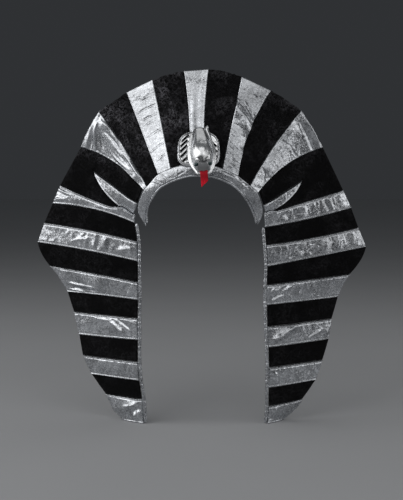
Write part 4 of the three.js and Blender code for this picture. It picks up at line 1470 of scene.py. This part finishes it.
def add_head(material):
    """The head, fused with its jaw roll and horn."""
    bm = bmesh.new()
    bm.from_mesh(head_dome())
    bm.from_mesh(head_jaw())
    fused = worked(
        mesh_from("cobra_head", bm),
        ("REMESH", {"mode": "VOXEL", "voxel_size": HEAD_VOXEL, "use_smooth_shade": True}),
        ("SMOOTH", {"factor": 0.5, "iterations": 4}),
    )
    add_piece("cobra_head_plated", fused, material, ["cobra_head"])


def add_eye(side, material):
    """A round bead set in the head."""
    half, tall = head_size(EYE_Z)
    height = tall * head_top(EYE_X / half) - EYE_SINK
    bm = bmesh.new()
    bmesh.ops.create_uvsphere(bm, u_segments=32, v_segments=20, radius=EYE_RADIUS)
    name = "cobra_eye_left" if side < 0 else "cobra_eye_right"
    mesh = mesh_from(name, bm)
    place(mesh, from_head(places(mesh) + np.array([side * EYE_X, -HEAD_BACK - height, EYE_Z])))
    add_piece(f"{name}_bead", mesh, material, [name])


def add_tongue(material):
    """The forked felt tongue, hanging plumb from the mouth."""
    slit = round((1 - FORK_FROM) * TONGUE_ROWS) / TONGUE_ROWS
    mesh, grid = pad_mesh("cobra_tongue", TONGUE_COLUMNS, TONGUE_ROWS, slit=(FORK_ACROSS, slit))
    x, y = grid[:, 0], grid[:, 1]
    column = round(FORK_ACROSS * TONGUE_COLUMNS) / TONGUE_COLUMNS
    fork = np.clip((slit - y) / slit, 0, 1)
    longer = x / column * mix(FORK_ACROSS, FORK_ACROSS - FORK_OPEN, fork)
    shorter = mix(mix(FORK_ACROSS, FORK_ACROSS + FORK_OPEN, fork), 1.0, (x - column) / (1 - column))
    w = np.where(x < column, longer, shorter)
    t = (1 - y) * (1 - (1 - FORK_SHORTER) * np.maximum(w, 0.0))
    level = -HEAD_BACK - TONGUE_LEVEL
    plumb = np.array([0, math.sin(COBRA_TILT), -math.cos(COBRA_TILT)])
    lip = np.array([0, level, TONGUE_LIP_Z])
    spine = [(0, level, TONGUE_ROOT_Z), lip, *(lip + plumb * drop for drop in TONGUE_DROPS)]
    path = through(spine, np.linspace(0, 1, 400))
    at = np.rint(t * (len(path) - 1)).astype(int)
    ahead = unit(np.gradient(path, axis=0))[at]
    out = unit(np.cross(np.array([-1.0, 0, 0]), ahead))
    points = path[at]
    points[:, 0] += (w - 0.5) * TONGUE_WIDE * (1 - TONGUE_TAPER * t)
    edge = np.minimum(from_ends(x) * TONGUE_WIDE, from_ends(y) * TONGUE_LONG)
    to_slit = np.where(y < slit, np.abs(x - column) * TONGUE_WIDE, TONGUE_WIDE)
    thick = TONGUE_HALF * rounded(np.minimum(edge, to_slit), 0.7, 0.3)
    wave = 0.5 * np.sin(t * 7.0) * (w - 0.4)
    rise = np.where(grid[:, 2] > 0.5, thick, -thick) + wave
    place(mesh, from_head(points + out * rise[:, None]))
    obj = add_piece("cobra_tongue_felt", mesh, material, ["cobra_tongue"])


# Properties


class HeaddressSizes(bpy.types.PropertyGroup):
    silver_cell: bpy.props.FloatProperty(
        name="Lamé cell", description="Mesh size of the lamé stripes", default=0.0009, unit="LENGTH"
    )
    velvet_cell: bpy.props.FloatProperty(
        name="Velvet cell", description="Mesh size of the velvet stripes", default=0.0016, unit="LENGTH"
    )
    pillow: bpy.props.FloatProperty(
        name="Pillow", description="Swell of the foam between two seams", default=0.0003, unit="LENGTH"
    )
    crease: bpy.props.FloatProperty(
        name="Crease strength", description="Factor on every crease pressed into the lamé", default=1.3
    )
    edge_bead: bpy.props.FloatProperty(
        name="Edge bead", description="Rise of a lamé stripe's turned edge", default=0.0010, unit="LENGTH"
    )
    stitch_groove: bpy.props.FloatProperty(
        name="Stitch groove", description="Depth of the topstitched line", default=0.0008, unit="LENGTH"
    )


class HeaddressColours(bpy.types.PropertyGroup):
    silver: bpy.props.FloatVectorProperty(
        name="Silver", description="Lamé colour", subtype="COLOR", default=(0.69, 0.71, 0.74)
    )
    velvet: bpy.props.FloatVectorProperty(
        name="Velvet", description="Velvet colour", subtype="COLOR", default=(0.012, 0.0118, 0.013)
    )
    plated: bpy.props.FloatVectorProperty(
        name="Plated", description="Colour of the cobra", subtype="COLOR", default=(0.92, 0.93, 0.94)
    )
    bead: bpy.props.FloatVectorProperty(
        name="Bead", description="Colour of the eyes", subtype="COLOR", default=(0.006, 0.05, 0.052)
    )
    felt: bpy.props.FloatVectorProperty(
        name="Felt", description="Colour of the tongue", subtype="COLOR", default=(0.95, 0.006, 0.03)
    )
    thread: bpy.props.FloatVectorProperty(
        name="Thread", description="Colour of the topstitching", subtype="COLOR", default=(0.8, 0.8, 0.81)
    )
    floor: bpy.props.FloatVectorProperty(
        name="Floor", description="Colour of the floor", subtype="COLOR", default=(0.4, 0.405, 0.415)
    )


class HeaddressStage(bpy.types.PropertyGroup):
    camera_distance: bpy.props.FloatProperty(
        name="Distance", description="Camera to headdress", default=2.0, unit="LENGTH"
    )
    camera_height: bpy.props.FloatProperty(
        name="Height", description="Camera height over the floor", default=0.389, unit="LENGTH"
    )
    camera_pitch: bpy.props.FloatProperty(
        name="Pitch", description="How far the camera looks down", default=math.radians(4.085), subtype="ANGLE"
    )
    lens: bpy.props.FloatProperty(name="Lens", description="Focal length", default=102.8, unit="CAMERA")
    key_power: bpy.props.FloatProperty(
        name="Key power", description="Power of the key light", default=27.0, unit="POWER"
    )
    front_power: bpy.props.FloatProperty(
        name="Front power", description="Power of the light high in front", default=7.4, unit="POWER"
    )
    fill_power: bpy.props.FloatProperty(
        name="Fill power", description="Power of the fill light", default=9.4, unit="POWER"
    )
    side_power: bpy.props.FloatProperty(
        name="Side power", description="Power of the low lights at both sides", default=6.2, unit="POWER"
    )
    top_power: bpy.props.FloatProperty(
        name="Top power", description="Power of the light overhead", default=3.6, unit="POWER"
    )
    sky: bpy.props.FloatProperty(name="Sky", description="Strength of the studio's own light", default=0.08)


# Operators


class HEADDRESS_OT_stage(bpy.types.Operator):
    """Floor, lights and camera"""

    bl_idname = "headdress.stage"
    bl_label = "Stage"

    def execute(self, context):
        stage = context.scene.headdress_stage
        bm = bmesh.new()
        bmesh.ops.create_circle(bm, cap_ends=True, segments=64, radius=FLOOR_RADIUS)
        floor = add_object("floor", mesh_from("floor", bm))
        pale = finish("pale_floor", floor_sockets, context.scene.headdress_colours.floor)
        floor.data.materials.append(pale)
        camera = bpy.data.cameras.new("camera")
        camera.lens = stage.lens
        camera.sensor_width = SENSOR_WIDE
        eye = add_object("camera", camera)
        eye.location = (CAMERA_X + SEAT[0] * MM, -stage.camera_distance + SEAT[1] * MM, stage.camera_height)
        eye.rotation_euler = (math.pi / 2 - stage.camera_pitch, 0, 0)
        context.scene.camera = eye
        for name, bearing, rise, away, wide, tall, source, share in LIGHTS:
            angles = math.radians(bearing), math.radians(rise)
            self.add_light(name, *angles, away, (wide, tall), getattr(stage, source) * share)
        world = bpy.data.worlds.new("studio")
        world.use_nodes = True
        tree = world.node_tree
        rising = Field(tree).add("TexCoord", out="Generated").axis("Z").between(0.1, 0.95)
        feed(tree, tree.nodes["Background"], {"Color": rising.blend(SKY_LOW, SKY_HIGH), "Strength": stage.sky})
        context.scene.world = world
        context.scene.view_settings.view_transform = "Standard"
        return {"FINISHED"}

    def add_light(self, name, bearing, rise, away, size, power):
        """A soft box at this bearing from the front and this rise, facing the headdress."""
        light = bpy.data.lights.new(name, "AREA")
        light.shape = "RECTANGLE"
        light.size, light.size_y = size
        light.energy = power
        level = math.cos(rise)
        towards = Vector((level * math.sin(bearing), -level * math.cos(bearing), math.sin(rise)))
        obj = add_object(name, light)
        obj.location = Vector(LIT_POINT) + towards * away
        obj.rotation_euler = towards.to_track_quat("Z", "Y").to_euler()


class HEADDRESS_OT_stripes(bpy.types.Operator):
    """Padded silver and velvet stripes, temples and their leaves"""

    bl_idname = "headdress.stripes"
    bl_label = "Stripes"

    def execute(self, context):
        sizes = context.scene.headdress_sizes
        silver, velvet = cloth(context, "silver_lame"), cloth(context, "black_velvet")
        rise = settled(sizes.crease)
        thread = {"left": bmesh.new(), "right": bmesh.new()}
        for k in range(LAST + 1):
            stripe, kind = SEAMS[k][:2]
            if stripe in PLEATS:
                add_temple(k, velvet, sizes)
                add_leaf(k, silver, sizes)
            else:
                for line in add_stripe(k, silver if kind == "silver" else velvet, sizes, rise):
                    sew(thread[stripe.split("_")[1]], *line)
        spun = cloth(context, "thread")
        for side, bm in thread.items():
            add_piece(f"stitches_{side}_thread", mesh_from("stitches", bm), spun, [])
        return {"FINISHED"}


class HEADDRESS_OT_edges(bpy.types.Operator):
    """Brow band, its piping and the bindings of the lappets"""

    bl_idname = "headdress.edges"
    bl_label = "Band and edges"

    def execute(self, context):
        silver = cloth(context, "silver_lame")
        add_band(silver, context.scene.headdress_sizes)
        add_piping(silver)
        add_binding("edge_binding_left", SEAMS[: STRIPE["temple_left"]], BINDING_ASIDE, silver)
        add_binding("edge_binding_right", SEAMS[STRIPE["lappet_right_10"] :], -BINDING_ASIDE, silver)
        return {"FINISHED"}


class HEADDRESS_OT_cobra(bpy.types.Operator):
    """Plated cobra with bead eyes and a felt tongue"""

    bl_idname = "headdress.cobra"
    bl_label = "Cobra"

    def execute(self, context):
        plated = cloth(context, "plated")
        add_hood(plated)
        add_head(plated)
        for side in (-1, 1):
            add_eye(side, cloth(context, "bead"))
        add_tongue(cloth(context, "felt"))
        return {"FINISHED"}


class HEADDRESS_PT_panel(bpy.types.Panel):
    """Lists the headdress's operators"""

    bl_idname = "HEADDRESS_PT_panel"
    bl_label = "Headdress"
    bl_space_type = "VIEW_3D"
    bl_region_type = "UI"
    bl_category = "Headdress"

    def draw(self, context):
        for operator in OPERATORS:
            self.layout.operator(operator.bl_idname)


GROUPS = {
    "headdress_sizes": HeaddressSizes,
    "headdress_colours": HeaddressColours,
    "headdress_stage": HeaddressStage,
}
OPERATORS = [HEADDRESS_OT_stage, HEADDRESS_OT_stripes, HEADDRESS_OT_edges, HEADDRESS_OT_cobra]
CLASSES = [*GROUPS.values(), *OPERATORS, HEADDRESS_PT_panel]


def register():
    for cls in CLASSES:
        bpy.utils.register_class(cls)
    for name, group in GROUPS.items():
        setattr(bpy.types.Scene, name, bpy.props.PointerProperty(type=group))


def unregister():
    for name in GROUPS:
        delattr(bpy.types.Scene, name)
    for cls in reversed(CLASSES):
        bpy.utils.unregister_class(cls)


def main():
    register()
    bpy.ops.headdress.stage()
    bpy.ops.headdress.stripes()
    bpy.ops.headdress.edges()
    bpy.ops.headdress.cobra()


if __name__ == "__main__":
    main()
